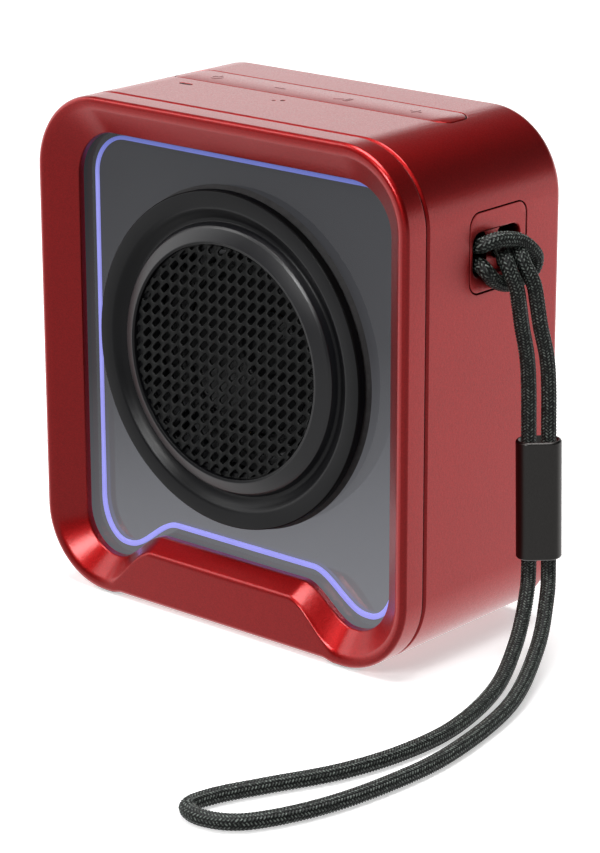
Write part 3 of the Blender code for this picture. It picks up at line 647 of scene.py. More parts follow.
plate_outline = box_outline("lanyard_plate", Y, Z, 2.5)
pad_outline = box_outline("foot_pad", X, Y, 3.0)
flap_outline = box_outline("port_flap", X, Z, 2.3, 12)
rear_grille_outline = box_outline("rear_grille", X, Z, middle_and_half("rear_grille")[1][Z] - 1.0, 24)


def build_bezel():
    """Front bezel: rolled outer edge, flat rim, long inward slope, hump over the bottom edge."""
    roll = 0.95
    window_y = FRONT + 4.25
    levels = [(0.2, BEZEL_BACK), (0.0, BEZEL_BACK - 0.25), (0.0, FRONT + roll)]
    for degrees in (22.5, 45.0, 67.5, 90.0):
        angle = math.radians(degrees)
        levels.append((roll * (1 - math.cos(angle)), FRONT + roll * (1 - math.sin(angle))))
    loops = stack(body_outline, levels)
    loops += [along_y(CREST, FRONT), along_y(WINDOW_EDGE, window_y), along_y(WINDOW_EDGE, BEZEL_BACK)]
    radii = [0, 0.08, 0, 0, 0, 0, 0, 0.9, 0.3, 0]
    bezel = loft("bezel", soften(loops, radii, 5), RED, ring=True)
    even_shading(bezel)
    place(bezel, "body", "red_paint", "front_bezel")


def column_centres():
    offset = COLUMN_OFFSET / math.sqrt(2)
    across = HALF_WIDTH - BODY_RADIUS + offset
    low = FLOOR + BODY_RADIUS - offset
    high = TOP - BODY_RADIUS + offset
    return [(across, low), (-across, low), (-across, high), (across, high)]


def build_shell():
    outside = [(0.45, SEAM), (0.0, SEAM + 0.45)]
    rear_roll = ((0.0, 1.8), (0.16, 1.1), (0.53, 0.53), (1.1, 0.16), (1.8, 0.0))
    outside += [(inset, BACK - before) for inset, before in rear_roll]
    inside = [(WALL, BACK), (WALL, SEAM)]
    radii = [0.1, 0.15, 0, 0, 0, 0, 0, 0.1, 0.1]
    shell = loft("shell", soften(stack(body_outline, outside + inside), radii, 3), RED, ring=True)
    column_radius, pilot_start = 4.0, 12.0
    columns, pilots = [], []
    for i, (x, z) in enumerate(column_centres()):
        reach = [(column_radius, BAFFLE_BACK + FIT_GAP), (column_radius, REAR_FRONT - FIT_GAP)]
        columns.append(turned_solid(f"shell_column_{i}", reach, RED, x, z))
        bore = [(BORE_RADIUS, pilot_start), (BORE_RADIUS, REAR_FRONT)]
        pilots.append(turned_solid(f"shell_pilot_{i}", bore, RED, x, z, 16))
    combine(shell, columns, "UNION")
    combine(shell, pilots + top_cutters() + [lanyard_cutter(), foot_cutter()])
    even_shading(shell)
    place(shell, "body", "red_paint", "main_shell")


def row_outline(grow):
    """The key row's outline as a closed loop with many stations along its long sides."""
    half = KEY_HALF_DEPTH + grow
    radius = KEY_CORNER + grow
    straight = KEY_ROW_HALF + grow - radius
    near, far = KEY_MIDDLE - half + radius, KEY_MIDDLE + half - radius
    spacing = 2.0
    stations = [straight - i * spacing for i in range(1, int(2 * straight / spacing))]
    points = arc(straight, near, radius, radius, -90, 0, 10)
    points += arc(straight, far, radius, radius, 0, 90, 10)
    points += [(x, KEY_MIDDLE + half) for x in stations]
    points += arc(-straight, far, radius, radius, 90, 180, 10)
    points += arc(-straight, near, radius, radius, 180, 270, 10)
    points += [(x, KEY_MIDDLE - half) for x in reversed(stations)]
    return points


def over_top(outline, rise):
    """Loop that follows the casing's top face at a set height above it."""
    return np.array([(x, y, shell_top(x) + rise) for x, y in outline])


def top_cutters():
    """Cutters for the key row, the status slot and the two microphone holes."""
    gap = 0.22
    row = stack(lambda grow: row_outline(gap + grow), SHELL_EDGE, over_top)
    cutters = [loft("row_cutter", row, RED)]
    openings = {"slot": lambda grow: rounded_box(-25.7, -2.3, 1.55 + grow, 0.55 + grow, 0.5 + grow)}
    for name, (x, y, radius) in MICROPHONES.items():
        openings[f"mic_{name}"] = lambda grow, x=x, y=y, radius=radius: circle(radius + grow, x, y)
    for name, outline in openings.items():
        levels = [(grow * 0.7, rise) for grow, rise in SHELL_EDGE]
        cutters.append(loft(f"{name}_cutter", stack(outline, levels, along_z, TOP), RED))
    return cutters


def lanyard_cutter():
    gap = 0.2
    levels = [(gap + grow, rise) for grow, rise in SHELL_EDGE]
    return loft("lanyard_cutter", stack(plate_outline, levels, along_x, HALF_WIDTH), RED)


def foot_cutter():
    outline = pad_outline(FIT_GAP)
    return loft("foot_cutter", prism(outline, -1.0, PAD_TOP + FIT_GAP, along_z), RED)


def build_rear_cover():
    rim = WALL + FIT_GAP
    loops = stack(body_outline, [(rim, REAR_FRONT), (rim, REAR_BACK), (rim + 6, REAR_BACK)])
    cover = loft("rear_panel", soften(loops, [0, 0.2, 0], 3, ring=False), RED)
    cutters = []
    openings = (("radiator_cutter", rear_grille_outline, 4.0), ("flap_cutter", flap_outline, 1.2))
    for name, outline, depth in openings:
        levels = [(FIT_GAP + grow, rise) for grow, rise in ((0.0, -depth),) + REAR_EDGE]
        cutters.append(loft(name, stack(outline, levels, base=REAR_BACK), RED))
    middle = middle_and_half("port_flap")[0]
    mouth = rounded_box(middle[X], middle[Z], 5.0, 2.15, 2.1)
    cutters.append(loft("mouth_cutter", prism(mouth, REAR_FRONT - 1, REAR_BACK + 1), RED))
    sink_radius, sink_floor = 2.15, 21.2
    for i, (x, z) in enumerate(column_centres()):
        through = ((BORE_RADIUS, REAR_FRONT - 1), (BORE_RADIUS, REAR_BACK + 1))
        cutters.append(turned_solid(f"rear_bore_{i}", through, RED, x, z, 24))
        sink = [(sink_radius, sink_floor), (sink_radius, REAR_BACK - 0.12)]
        sink += [(sink_radius + 0.12, REAR_BACK), (sink_radius + 1.05, REAR_BACK + 0.93)]
        cutters.append(turned_solid(f"rear_sink_{i}", sink, RED, x, z, 40))
    combine(cover, cutters)
    even_shading(cover)
    place(cover, "body", "red_paint", "rear_cover")


def build_rear_grille():
    """Plate with five long slots, the middle one the longest."""
    middle = middle_and_half("rear_grille")[0]
    low, high = span("rear_grille", Y)
    loops = stack(rear_grille_outline, [(0.0, low), (0.0, high), (-3.0, high)])
    grille = loft("bass_grille", soften(loops, [0, 0.25, 0], 3, ring=False), MATT)
    levels = ((0.0, low - 0.5), (0.0, high - 0.22), (0.22, high), (0.8, high + 0.58))
    rows, pitch = 5, 5.6
    slot_half, slot_radius = 1.2, 1.19
    cutters = []
    for row in range(rows):
        offset = (row - (rows - 1) / 2) * pitch
        half_length = 22.5 - 0.055 * offset * offset
        loops = []
        for grow, y in levels:
            sizes = (half_length + grow, slot_half + grow, slot_radius + grow)
            loops.append(along_y(rounded_box(middle[X], middle[Z] + offset, *sizes, 8), y))
        cutters.append(loft(f"bass_slot_{row}", loops, MATT))
    combine(grille, cutters)
    even_shading(grille)
    place(grille, "body", "satin_black", "rear_grille")


def build_foot_pad():
    """Rubber foot with a shallow groove near its edge."""
    low, groove = PAD_BOTTOM, PAD_BOTTOM + 0.25
    levels = ((0.0, PAD_TOP), (0.0, low), (-1.6, low), (-1.8, groove), (-2.6, groove), (-2.8, low))
    loops = soften(stack(pad_outline, levels, along_z), [0, 0.2, 0.08, 0.05, 0.05, 0], 3, ring=False)
    place(loft("foot", loops, RUBBER), "body", "black_rubber", "foot_pad")


# ---- window and light


def build_light_line():
    half = 0.37
    low, high = span("light_guide", Y)
    loops = stack(light_outline, [(half, low), (half, high), (-half, high), (-half, low)])
    line = loft("light_strip", soften(loops, [0.15, 0, 0, 0.15], 4), LIGHT, ring=True)
    place(line, "body", "light_line", "light_guide")


def build_panel_and_chips():
    """Grey diffuser with blind pockets behind its front skin, and the light chips in them."""
    skin, bore = 0.3, 25.7
    low, high = span("reflector_panel", Y)
    panel = loft("diffuser", prism(body_outline(WALL + 0.6), low, high), PANEL)
    reach = ((bore, low - 1), (bore, high + 1))
    tools = [turned_solid("diffuser_bore", reach, PANEL, 0.0, DRIVER_Z, 160)]
    for name in ("led_1", "led_2", "led_3"):
        middle, half = middle_and_half(name)

        def outline(grow):
            return rounded_box(middle[X], middle[Z], half[X] + grow, half[Z] + grow, 0.2, 4)

        pocket = prism(outline(0.3), low + skin, high + 1)
        tools.append(loft(f"{name}_pocket", pocket, PANEL))
        face = low + skin + 0.1
        levels = ((-0.15, face), (-0.03, face + 0.05), (0.0, face + 0.15), (0.0, span(name, Y)[1]))
        place(loft(f"{name}_chip", stack(outline, levels), LENS), "body", "lens_white", name)
    combine(panel, tools)
    place(panel, "body", "grey_panel", "reflector_panel")


# ---- front driver


def build_trim():
    """Trim ring with a glossy lip inside, on its gasket; its outer wall takes a darker, duller black as
    painted shade.
    """
    bore = 25.4
    corners = (
        (bore, -17.95, 0), (32.3, -17.95, 0.2), (32.75, -18.3, 0.1), (32.75, -19.85, 0.06),
        (32.5, -20.06, 0.06), (29.4, -20.0, 0.4), (28.3, -18.9, 0.5), (27.1, -18.2, 0.4),
        (26.5, -18.4, 0.2), (26.0, -19.75, 0.06), (25.6, -20.1, 0.06), (23.3, -21.2, 0.1),
        (22.75, -21.05, 0.06), (22.75, -20.0, 0.05), (21.7, -20.0, 0.1), (21.7, -19.2, 0.1),
        (23.6, -17.2, 0.1), (23.6, -11.4, 0), (bore, -11.4, 0),
    )
    profile = [(radius, y) for radius, y, _ in corners]
    ring = turned_ring("trim", profile, [softness for *_, softness in corners], SATIN, 180)
    ring.data.materials.append(DEEP_BLACK)
    ring.data.materials.append(GLOSSY_BLACK)
    # painted shade: faces on the outer wall get deep_black, a darker and duller copy of the ring's black
    shaded_wall_from, lip_from, lip_to, lip_front = (size * MM for size in (32.6, 23.2, 26.6, -18.5))
    for face in ring.data.polygons:
        reach = math.hypot(face.center.x, face.center.z - DRIVER_Z * MM)
        if reach > shaded_wall_from:
            face.material_index = 1
        elif lip_from < reach < lip_to and face.center.y < lip_front:
            face.material_index = 2
    place(ring, "body", "satin_black", "trim_ring")
    seal = [(bore + 0.6, -17.1), (33.4, -17.1), (32.4, -17.75), (bore + 0.6, -17.75)]
    gasket = turned_ring("seal", seal, [0, 0.1, 0.1, 0], RUBBER, 120)
    place(gasket, "body", "black_rubber", "trim_gasket")


def even_steps(path, count, closed=False):
    """The same path resampled at equal distances: count points, or count + 1 with the end."""
    lengths = np.linalg.norm(np.diff(path, axis=0), axis=1)
    along = np.concatenate([[0.0], np.cumsum(lengths)])
    wanted = np.linspace(0.0, along[-1], count if closed else count + 1, endpoint=not closed)
    return np.stack([np.interp(wanted, along, path[:, k]) for k in range(path.shape[1])], 1)


def slot_ring(half_length, half_width, corner, count):
    """Points at equal steps round a slot that lies at 45 degrees, from its upper-right tip."""
    outline = np.array(rounded_box(0.0, 0.0, half_length, half_width, corner, 12))
    tip = np.array([[half_length, 0.0]])
    angles = np.arctan2(outline[:, 1], outline[:, 0]) % (2 * math.pi)
    ordered = outline[np.argsort(angles, kind="stable")]
    a, b = even_steps(np.concatenate([tip, ordered, tip]), count, closed=True).T
    turn = math.sqrt(0.5)
    return list(zip((a - b) * turn, (a + b) * turn))


def cell_border(half_x, half_z, per_side):
    """Points round a grid cell, from its upper-right corner, the same way round as the slot."""
    corners = ((half_x, half_z), (-half_x, half_z), (-half_x, -half_z), (half_x, -half_z))
    points = []
    for k, (x0, z0) in enumerate(corners):
        x1, z1 = corners[(k + 1) % 4]
        shares = [i / per_side for i in range(per_side)]
        points += [(x0 + (x1 - x0) * t, z0 + (z1 - z0) * t) for t in shares]
    return points


def build_grille():
    """Pressed steel sheet with rows of slanted slots, clipped to a disc."""
    pitch_x, pitch_z = 2.45, 2.4
    middle, half = middle_and_half("front_grille")
    radius = half[X]
    front, back = middle[Y] - half[Y], middle[Y] + half[Y]
    per_side = 6
    count = 4 * per_side
    border = cell_border(pitch_x / 2, pitch_z / 2, per_side)
    lip = slot_ring(1.24, 0.66, 0.5, count)
    hole = slot_ring(1.15, 0.56, 0.42, count)
    layers = ((border, front + 0.06), (lip, front), (hole, front + 0.1), (hole, back), (border, back))
    points, faces, index = [], [], {}

    def vertex(x, y, z):
        key = (round(x * 1000), round(y * 1000), round(z * 1000))
        if key not in index:
            index[key] = len(points)
            points.append((x, y, z + DRIVER_Z))
        return index[key]

    reach = int(radius / pitch_x) + 2
    steps = range(-reach, reach + 1)
    filled = {(c, r) for c in steps for r in steps if math.hypot(c * pitch_x, r * pitch_z) < radius + 2.0}
    neighbours = ((0, 1), (-1, 0), (0, -1), (1, 0))
    for column, row in sorted(filled):
        x0, z0 = column * pitch_x, row * pitch_z
        rings = [[vertex(x0 + x, y, z0 + z) for x, z in loop] for loop, y in layers]
        for near, far in zip(rings, rings[1:]):
            for i in range(count):
                j = (i + 1) % count
                faces.append((near[i], near[j], far[j], far[i]))
        for side, (step_x, step_z) in enumerate(neighbours):
            if (column + step_x, row + step_z) in filled:
                continue
            for i in range(side * per_side, (side + 1) * per_side):
                j = (i + 1) % count
                faces.append((rings[0][i], rings[-1][i], rings[-1][j], rings[0][j]))
    sheet = mesh_from("grille", points, faces, MESH_BLACK)
    disc = ((radius, front - 1), (radius, back + 1))
    combine(sheet, [turned_solid("grille_rim", disc, MESH_BLACK, 0.0, DRIVER_Z, 160)], "INTERSECT")
    place(sheet, "body", "black_mesh", "front_grille")


# ---- passive radiator and port


def build_bass_radiator():
    """Passive radiator: rubber surround and the flat plate that it carries."""
    corners = (
        (-1.8, 20.0, 0), (1.5, 20.0, 0.4), (2.6, 18.1, 0.9), (4.9, 17.3, 0.9), (6.4, 18.6, 0.15),
        (6.4, 18.1, 0.15), (4.8, 16.8, 0.9), (2.2, 17.7, 0.9), (1.1, 19.5, 0.3), (-1.8, 19.5, 0),
    )
    loops = stack(rear_grille_outline, [(FIT_GAP - inset, y) for inset, y, _ in corners])
    section = soften(loops, [softness for *_, softness in corners], 4)
    roll = loft("bass_surround", section, RUBBER, ring=True)
    place(roll, "body", "black_rubber", "radiator_surround")
    levels = ((6.8, 17.3), (6.8, 18.6), (7.4, 19.0), (9.0, 19.0), (9.4, 18.7))
    loops = stack(rear_grille_outline, [(FIT_GAP - inset, y) for inset, y in levels])
    plate = loft("bass_plate_face", soften(loops, [0, 0.2, 0.15, 0.1, 0], 3, ring=False), MATT)
    place(plate, "bass_plate", "black_plastic", "radiator_plate")


def build_port():
    """Rubber flap with its plug and grip, and the charging socket with its tongue."""
    middle, half = middle_and_half("port_flap")
    x, z = middle[X], middle[Z]
    plug_tip, outer = span("port_flap", Y)
    inner = outer - 0.9
    loops = stack(flap_outline, [(0.0, inner), (0.0, outer), (-0.9, outer), (-1.1, outer - 0.15)])
    flap = loft("flap_skin", soften(loops, [0.1, 0.25, 0.05, 0], 3, ring=False), RUBBER)
    plug = prism(rounded_box(x, z, 3.5, 0.9, 0.85), plug_tip, inner + 0.4)
    grip = prism(rounded_box(x + half[X] - 2.4, z, 0.45, 1.9, 0.44), outer - 0.4, outer)
    combine(flap, [loft("flap_plug", plug, RUBBER), loft("flap_grip", grip, RUBBER)], "UNION")
    place(flap, "flap", "black_rubber", "port_flap")
    front, back = span("usb_socket", Y)
    wall = 0.3

    def shell_outline(grow):
        return rounded_box(x, z, 4.5 + grow, 1.65 + grow, 1.6 + grow)

    loops = stack(shell_outline, [(0.0, front), (0.0, back), (-wall, back), (-wall, front + 0.9)])
    socket = loft("port_socket", soften(loops, [0, 0.08, 0.08, 0], 2, ring=False), STEEL)
    place(socket, "body", "plated_steel", "usb_socket")
    tongue = prism(rounded_box(x, z, 3.3, 0.35, 0.3, 4), front + 0.8, back - 0.8)
    place(loft("port_tongue", tongue, MATT), "body", "black_plastic")


def build_rear_screws():
    """Pan-head screws with a cross recess."""
    shank = 0.85
    for i, (x, z) in enumerate(column_centres()):
        low, high = box_mm(f"rear_screw_{i + 1}")
        head, tip = high[Y], low[Y]
        radius = (high[X] - low[X]) / 2
        profile = [(0.02, tip), (0.5, tip + 0.5), (shank, tip + 1.0), (shank, head - 1.0)]
        profile += [(radius, head - 1.0), (radius, head - 0.45), (radius - 0.12, head - 0.25)]
        profile += [(radius - 0.45, head - 0.08), (radius - 0.9, head), (0.02, head)]
        made = turned_solid(f"case_screw_{i + 1}", profile, STEEL, x, z, 40)
        cutters = []
        for k, (half_a, half_b) in enumerate(((1.05, 0.2), (0.2, 1.05))):
            arm = rounded_box(x, z, half_a, half_b, 0.08, 2)
            cutters.append(loft(f"cross_{i}_{k}", prism(arm, head - 0.7, head + 0.5), STEEL))
        combine(made, cutters)
        place(made, "body", "plated_steel", f"rear_screw_{i + 1}")


# ---- keys


def row_side(left, right, inset):
    """(x, half width) stations from left to right along one long side of the key row."""
    half = KEY_HALF_DEPTH - inset
    radius = KEY_CORNER - inset
    straight = KEY_ROW_HALF - KEY_CORNER
    count = max(2, round(right - left))
    stations = [left + (right - left) * i / count for i in range(count + 1)]
    side = [(x, half) for x in stations if abs(x) < straight - 0.3]
    if left <= -KEY_ROW_HALF:
        side = arc(-straight, half - radius, radius, radius, 180, 90, 10) + side
    if right >= KEY_ROW_HALF:
        side += arc(straight, half - radius, radius, radius, 90, 0, 10)
    return side


def key_skin(name, left, right):
    """One stretch of the key row: it follows the casing's crown and has a rolled upper edge."""
    base = span("key_power", Z)[0] + 1.1
    layers = ((0.0, None), (0.0, -0.22), (0.03, -0.1), (0.09, -0.03), (0.2, 0.0))
    points, faces, rows = [], [], []
    for inset, rise in layers:
        side = row_side(left, right, inset)
        level = [base if rise is None else shell_top(x) + rise for x, _ in side]
        low = [(x, KEY_MIDDLE - w, z) for (x, w), z in zip(side, level)]
        high = [(x, KEY_MIDDLE + w, z) for (x, w), z in zip(side, level)]
        rows.append((len(points), len(side)))
        points += low + high[::-1]
    for (near, count), (far, _) in zip(rows, rows[1:]):
        lap = 2 * count
        for i in range(lap):
            j = (i + 1) % lap
            faces.append((near + i, near + j, far + j, far + i))
    for start, count in (rows[0], rows[-1]):
        for i in range(count - 1):
            faces.append((start + i, start + i + 1, start + 2 * count - 2 - i, start + 2 * count - 1 - i))
    return mesh_from(name, points, faces, RED)


def tie_key(made, key):
    """Bake the skin's transform into its mesh and hide the CAD key it stands for."""
    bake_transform(made)
    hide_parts(f"key_{key}")


def build_keys():
    necks = (-KEY_ROW_HALF,) + KEY_NECKS + (KEY_ROW_HALF,)
    for (key, centre), left, right in zip(KEY_CENTRES.items(), necks, necks[1:]):
        if left == -KEY_ROW_HALF:
            tie_key(key_skin(f"skin_{key}", left, right), key)
        elif right == KEY_ROW_HALF:
            tie_key(key_skin(f"skin_{key}", left, right), key)
        else:
            tie_key(key_skin(f"skin_{key}_left", left, centre), key)
            tie_key(key_skin(f"skin_{key}_right", centre, right), key)
        low = span(f"key_{key}", Z)[0]
        post = prism(circle(1.2, centre, KEY_MIDDLE, 24), low, low + 2.4, along_z)
        place(loft(f"key_foot_{key}", post, RED), f"{key}_key", "red_paint")
        build_icon(key, centre, KEY_MIDDLE)


def build_icon(key, x, y):
    """Raised tone-on-tone mark: power ring, minus, play and pause, or plus."""
    line = 0.17
    shapes = []
    if key == "power":
        outer = 1.25
        inner = outer - 2 * line
        shapes.append(arc(0, 0, outer, outer, 125, 415, 28) + arc(0, 0, inner, inner, 125, 415, 28)[::-1])
        shapes.append(rounded_box(0.0, 0.95, line, 0.75, 0.1, 3))
    if key in ("down", "up"):
        shapes.append(rounded_box(0.0, 0.0, 1.3, line, 0.1, 3))
    if key == "up":
        shapes += [rounded_box(0.0, offset, line, 0.5, 0.08, 3) for offset in (0.79, -0.79)]
    if key == "play":
        shapes.append([(-1.5, -1.1), (0.2, 0.0), (-1.5, 1.1)])
        shapes += [rounded_box(offset, 0.0, line, 1.05, 0.08, 3) for offset in (0.8, 1.5)]
    for i, shape in enumerate(shapes):
        moved = [(x + a, y + b) for a, b in shape]
        mark = loft(f"icon_{key}_{i}", prism(moved, TOP - 0.05, TOP + 0.05, along_z), RED_PALE)
        place(mark, f"{key}_key", "red_paint")


def build_status_lens():
    outline = box_outline("status_lens", X, Y, middle_and_half("status_lens")[1][Y] - 0.01)
    low = span("status_lens", Z)[0]
    levels = ((0.0, low), (0.0, TOP - 0.15), (-0.05, TOP - 0.06), (-0.15, TOP - 0.03))
    lens = loft("status_pipe", stack(outline, levels, along_z), LENS_DARK)
    place(lens, "body", "black_plastic", "status_lens")


def build_microphone_meshes():
    for name, (x, y, hole) in MICROPHONES.items():
        radius = hole - 0.02
        levels = ((radius, -0.9), (radius, -0.1), (radius - 0.06, -0.04))
        mesh = stack(lambda r: circle(r, x, y), levels, along_z, TOP)
        place(loft(f"mic_mesh_{name}", mesh, DEEP_BLACK), "body", "black_mesh")


# ---- lanyard


def eye_cutter(name, centre_y, half_y, depth, face):
    """Cutter for a rounded opening in the plate, rolled at its edge."""
    half_z, corner = 4.1, 2.0

    def outline(grow):
        return rounded_box(centre_y, EYE_Z, half_y + grow, half_z + grow, corner + grow)

    return loft(name, stack(outline, ((0.0, -depth),) + EYE_EDGE, along_x, face), RED)


def build_lanyard_plate():
    """Side plate with two eyes through it and a recessed bar between them."""
    inner, outer = span("lanyard_plate", X)
    loops = stack(plate_outline, [(0.0, inner), (0.0, outer), (-1.5, outer)], along_x)
    plate = loft("eye_plate", soften(loops, [0, 0.22, 0], 4, ring=False), RED)
    cutters = [
        eye_cutter("eye_cutter_front", -1.1, 2.7, 4.0, outer),
        eye_cutter("eye_cutter_rear", 7.2, 2.7, 4.0, outer),
        eye_cutter("bar_cutter", 3.05, 6.85, 1.2, outer),
    ]
    combine(plate, cutters)
    even_shading(plate)
    place(plate, "body", "red_paint", "lanyard_plate")


BRAID_STRANDS = 12
BRAID_LIFT = 0.24
BRAID_PITCH = 0.62
PER_RING = 3 * BRAID_STRANDS
SWAY_FROM_Z = 54.0
SWAY = {-1: Vector((-0.3, -1.65, 0.0)), 1: Vector((-0.6, -1.75, 0.0))}


def strand_way(height, side):
    """Where one of the two hanging strands is at this height; side is -1 or +1.

    Above SWAY_FROM_Z it has the bend of its tail.
    """
    lean = Vector((0.0, -HANG_LEAN, 1.0)) * (height - HANG_AT.z)
    spread = Vector((math.cos(LANYARD_TWIST), math.sin(LANYARD_TWIST), 0.0))
    rise = max(0.0, height - SWAY_FROM_Z) / 10
    return HANG_AT + lean + spread * (side * CORD_SPACING / 2) + SWAY[side] * rise**1.5


def spline(points, steps=24):
    """Catmull-Rom curve through points, ends included."""
    ends = [Vector(p) for p in points]
    path = [ends[0]] + ends + [ends[-1]]
    out = []
    for a, b, c, d in zip(path, path[1:], path[2:], path[3:]):
        for i in range(steps):
            t = i / steps
            low_terms = 2 * b + (c - a) * t + (2 * a - 5 * b + 4 * c - d) * t**2
            out.append(0.5 * low_terms + 0.5 * (3 * b - 3 * c + d - a) * t**3)
    out.append(ends[-1])
    return np.array(out)


def carried_frames(path):
    """Two cross directions per point, carried along the path without twisting."""
    tangents = np.gradient(path, axis=0)
    tangents /= np.linalg.norm(tangents, axis=1)[:, None]
    side = np.cross(tangents[0], (0.3, 0.9, 0.2))
    side /= np.linalg.norm(side)
    sides = []
    for t in tangents:
        side = side - t * np.dot(side, t)
        side /= np.linalg.norm(side)
        sides.append(side)
    sides = np.array(sides)
    return sides, np.cross(tangents, sides)


def braid_height(u, v):
    """Relief of a two-over, two-under braid at lattice place (u, v): 0 in a groove, 1 on a crown."""
    cell_u, cell_v = np.floor(u + 1e-6), np.floor(v + 1e-6)
    phase = np.mod(cell_u + cell_v, 4)
    first_on_top = phase < 2
    across = np.where(first_on_top, u - cell_u, v - cell_v)
    step = np.where(first_on_top, v - cell_v, u - cell_u)
    run = (np.mod(phase, 2) + step) / 2
    return np.sin(np.pi * across) ** 0.6 * np.sin(np.pi * np.clip(run, 0, 1)) ** 0.4


def braid_points(way):
    """Path, crown height and surface points of a cord braided from BRAID_STRANDS yarns each way."""
    curve = spline(way)
    length = np.linalg.norm(np.diff(curve, axis=0), axis=1).sum()
    path = even_steps(curve, int(length / (BRAID_PITCH / 6)))
    sides, ups = carried_frames(path)
    i = np.arange(len(path))[:, None]
    j = np.arange(PER_RING)[None, :] + 0.5 * (i % 2)
    height = braid_height((2 * j + i) / 6, (2 * j - i) / 6)
    angle = 2 * math.pi * j / PER_RING
    radius = CORD_RADIUS - BRAID_LIFT * (1 - height)
    across = np.cos(angle)[..., None] * sides[:, None] + np.sin(angle)[..., None] * ups[:, None]
    return path, height, path[:, None] + across * radius[..., None]


def braid_mesh(name, height, points, first, last):
    """Closed cord between two of the braid's rings."""
    rings = last - first + 1
    faces = []
    for a in range(rings - 2):
        odd = (a + first) % 2
        for b in range(PER_RING):
            right = (b + odd) % PER_RING
            left = (right - 1) % PER_RING
            ring = PER_RING * (a + 1)
            faces.append((PER_RING * a + b, ring + right, ring + PER_RING + b, ring + left))
    end = PER_RING * (rings - 1)
    for b in range(PER_RING):
        c = (b + 1) % PER_RING
        near = c if first % 2 else b
        far = c if last % 2 else b
        faces.append((b, c, PER_RING + near))
        faces.append((end + b, end + c, end - PER_RING + far))
    faces.append(tuple(range(PER_RING)))
    faces.append(tuple(range(end, end + PER_RING)))
    cord = mesh_from(name, points[first : last + 1].reshape(-1, 3), faces, YARN, 180.0)
    # crown, the braid's relief, is turned into painted highlights on the strand crowns by the yarn's colour
    crown = cord.data.attributes.new("crown", "FLOAT", "POINT")
    crown.data.foreach_set("value", height[first : last + 1].reshape(-1).astype(np.float32))
    return cord


def build_knot():
    """The bight of the lark's head: out of the front eye, across both tails and back in."""
    way = [
        (42.0, -1.0, 79.0), (44.2, -1.0, 79.2), (46.6, -1.9, 79.9), (48.3, 0.4, 80.7),
        (49.3, 5.5, 79.7), (49.6, 9.9, 76.3), (48.7, 10.6, 73.4), (47.8, 8.2, 71.9),
        (47.75, 4.4, 71.5), (47.75, 0.4, 72.9), (47.6, -1.9, 75.0), (46.2, -1.9, 75.9),
        (44.2, -1.0, 75.8), (42.0, -1.0, 76.0),
    ]
    path, height, points = braid_points(way)
    place(braid_mesh("knot_bight", height, points, 0, len(path) - 1), "body", "cord", "lanyard_knot")


def lanyard_way():
    """Out of the rear eye, down the inner strand, round on the ground and back up the outer one."""
    ground = CORD_RADIUS + 0.1
    inner = [(42.5, 6.3, 77.0), (45.0, 5.3, 77.2), (47.6, 2.9, 77.3), (49.3, 1.6, 76.6)]
    inner += [(50.2, 1.5, 75.0), (51.05, 2.4, 71.9), (50.9, 3.5, 68.6)]
    outer = [(52.7, 6.5, 68.8), (52.2, 6.0, 72.2), (50.9, 4.9, 75.6)]
    outer += [(49.9, 5.1, 77.1), (48.0, 6.4, 78.3), (45.0, 8.0, 78.7), (42.5, 8.4, 78.6)]
    heights = (64.0, 58.0, 52.0, 42.0, 18.0)
    down = [strand_way(height, -1) for height in heights]
    up = [strand_way(height, 1) for height in reversed(heights)]
    settling = [(53.2, 4.4, 11.2), (57.6, -4.6, 5.8), (62.6, -17.0, 2.6)]
    laid = [(66.2, -33.0), (66.4, -47.5), (63.4, -61.0), (57.6, -73.5), (53.6, -82.5), (53.0, -88.6)]
    laid += [(58.0, -90.2), (64.4, -86.6), (69.8, -75.0), (72.6, -60.0), (72.8, -43.0)]
    rising = [(68.6, -20.8, 2.2), (61.6, -3.4, 5.6), (56.4, 6.6, 11.4)]
    return inner + down + settling + [(x, y, ground) for x, y in laid] + rising + up + outer


def build_lanyard():
    """One cord, cut into two tails and the loop where the tails end in the CAD."""
    split_z = 69.5
    path, height, points = braid_points(lanyard_way())
    below = np.nonzero(path[:, Z] < split_z)[0]
    first, last = int(below[0]), int(below[-1])
    pieces = (
        ("cord_tail_inner", 0, first, ("body", "tails"), (77.0, 71.0), "lanyard_tail_inner"),
        ("cord_loop", first, last, ("tails", "loop"), (69.0, 60.0), "lanyard_cord"),
        ("cord_tail_outer", last, len(path) - 1, ("body", "tails"), (77.0, 71.0), "lanyard_tail_outer"),
    )
    for name, start, end, bodies, (from_z, to_z), stands_for in pieces:
        cord = braid_mesh(name, height, points, start, end)
        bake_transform(cord)
        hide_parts(stands_for)
        cord.visible_glossy = name != "cord_loop"


def build_sleeve():
    """Flattened metal tube on the two strands, leaning and turned as they are."""
    half_length, edge = 11.7, 0.28
    outer, inner = (4.3, 2.45), (3.75, 1.9)
    levels = [(inner, 0.0, -half_length), (outer, edge, -half_length), (outer, 0.0, edge - half_length)]
    levels += [(outer, 0.0, half_length - edge), (outer, edge, half_length), (inner, 0.0, half_length)]
    loops = []
    for half, inset, z in levels:
        a, b = half[0] - inset, half[1] - inset
        loops.append(along_z(rounded_box(0.0, 0.0, a, b, b - 0.02, 16), z))
    radii = [0.06, 0.06, 0.12, 0.12, 0.06, 0.06]
    sleeve = loft("sleeve_tube", soften(loops, radii, 3), GUNMETAL, ring=True)
    even_shading(sleeve)
    tilt = Matrix.Rotation(math.atan(HANG_LEAN), 4, "X")
    twist = Matrix.Rotation(LANYARD_TWIST, 4, "Z")
    sleeve.matrix_world = Matrix.Translation(HANG_AT * MM) @ tilt @ twist
    place(sleeve, "sleeve", "gunmetal", "lanyard_sleeve")
    sleeve.visible_glossy = False


# ---- carried-over CAD nodes


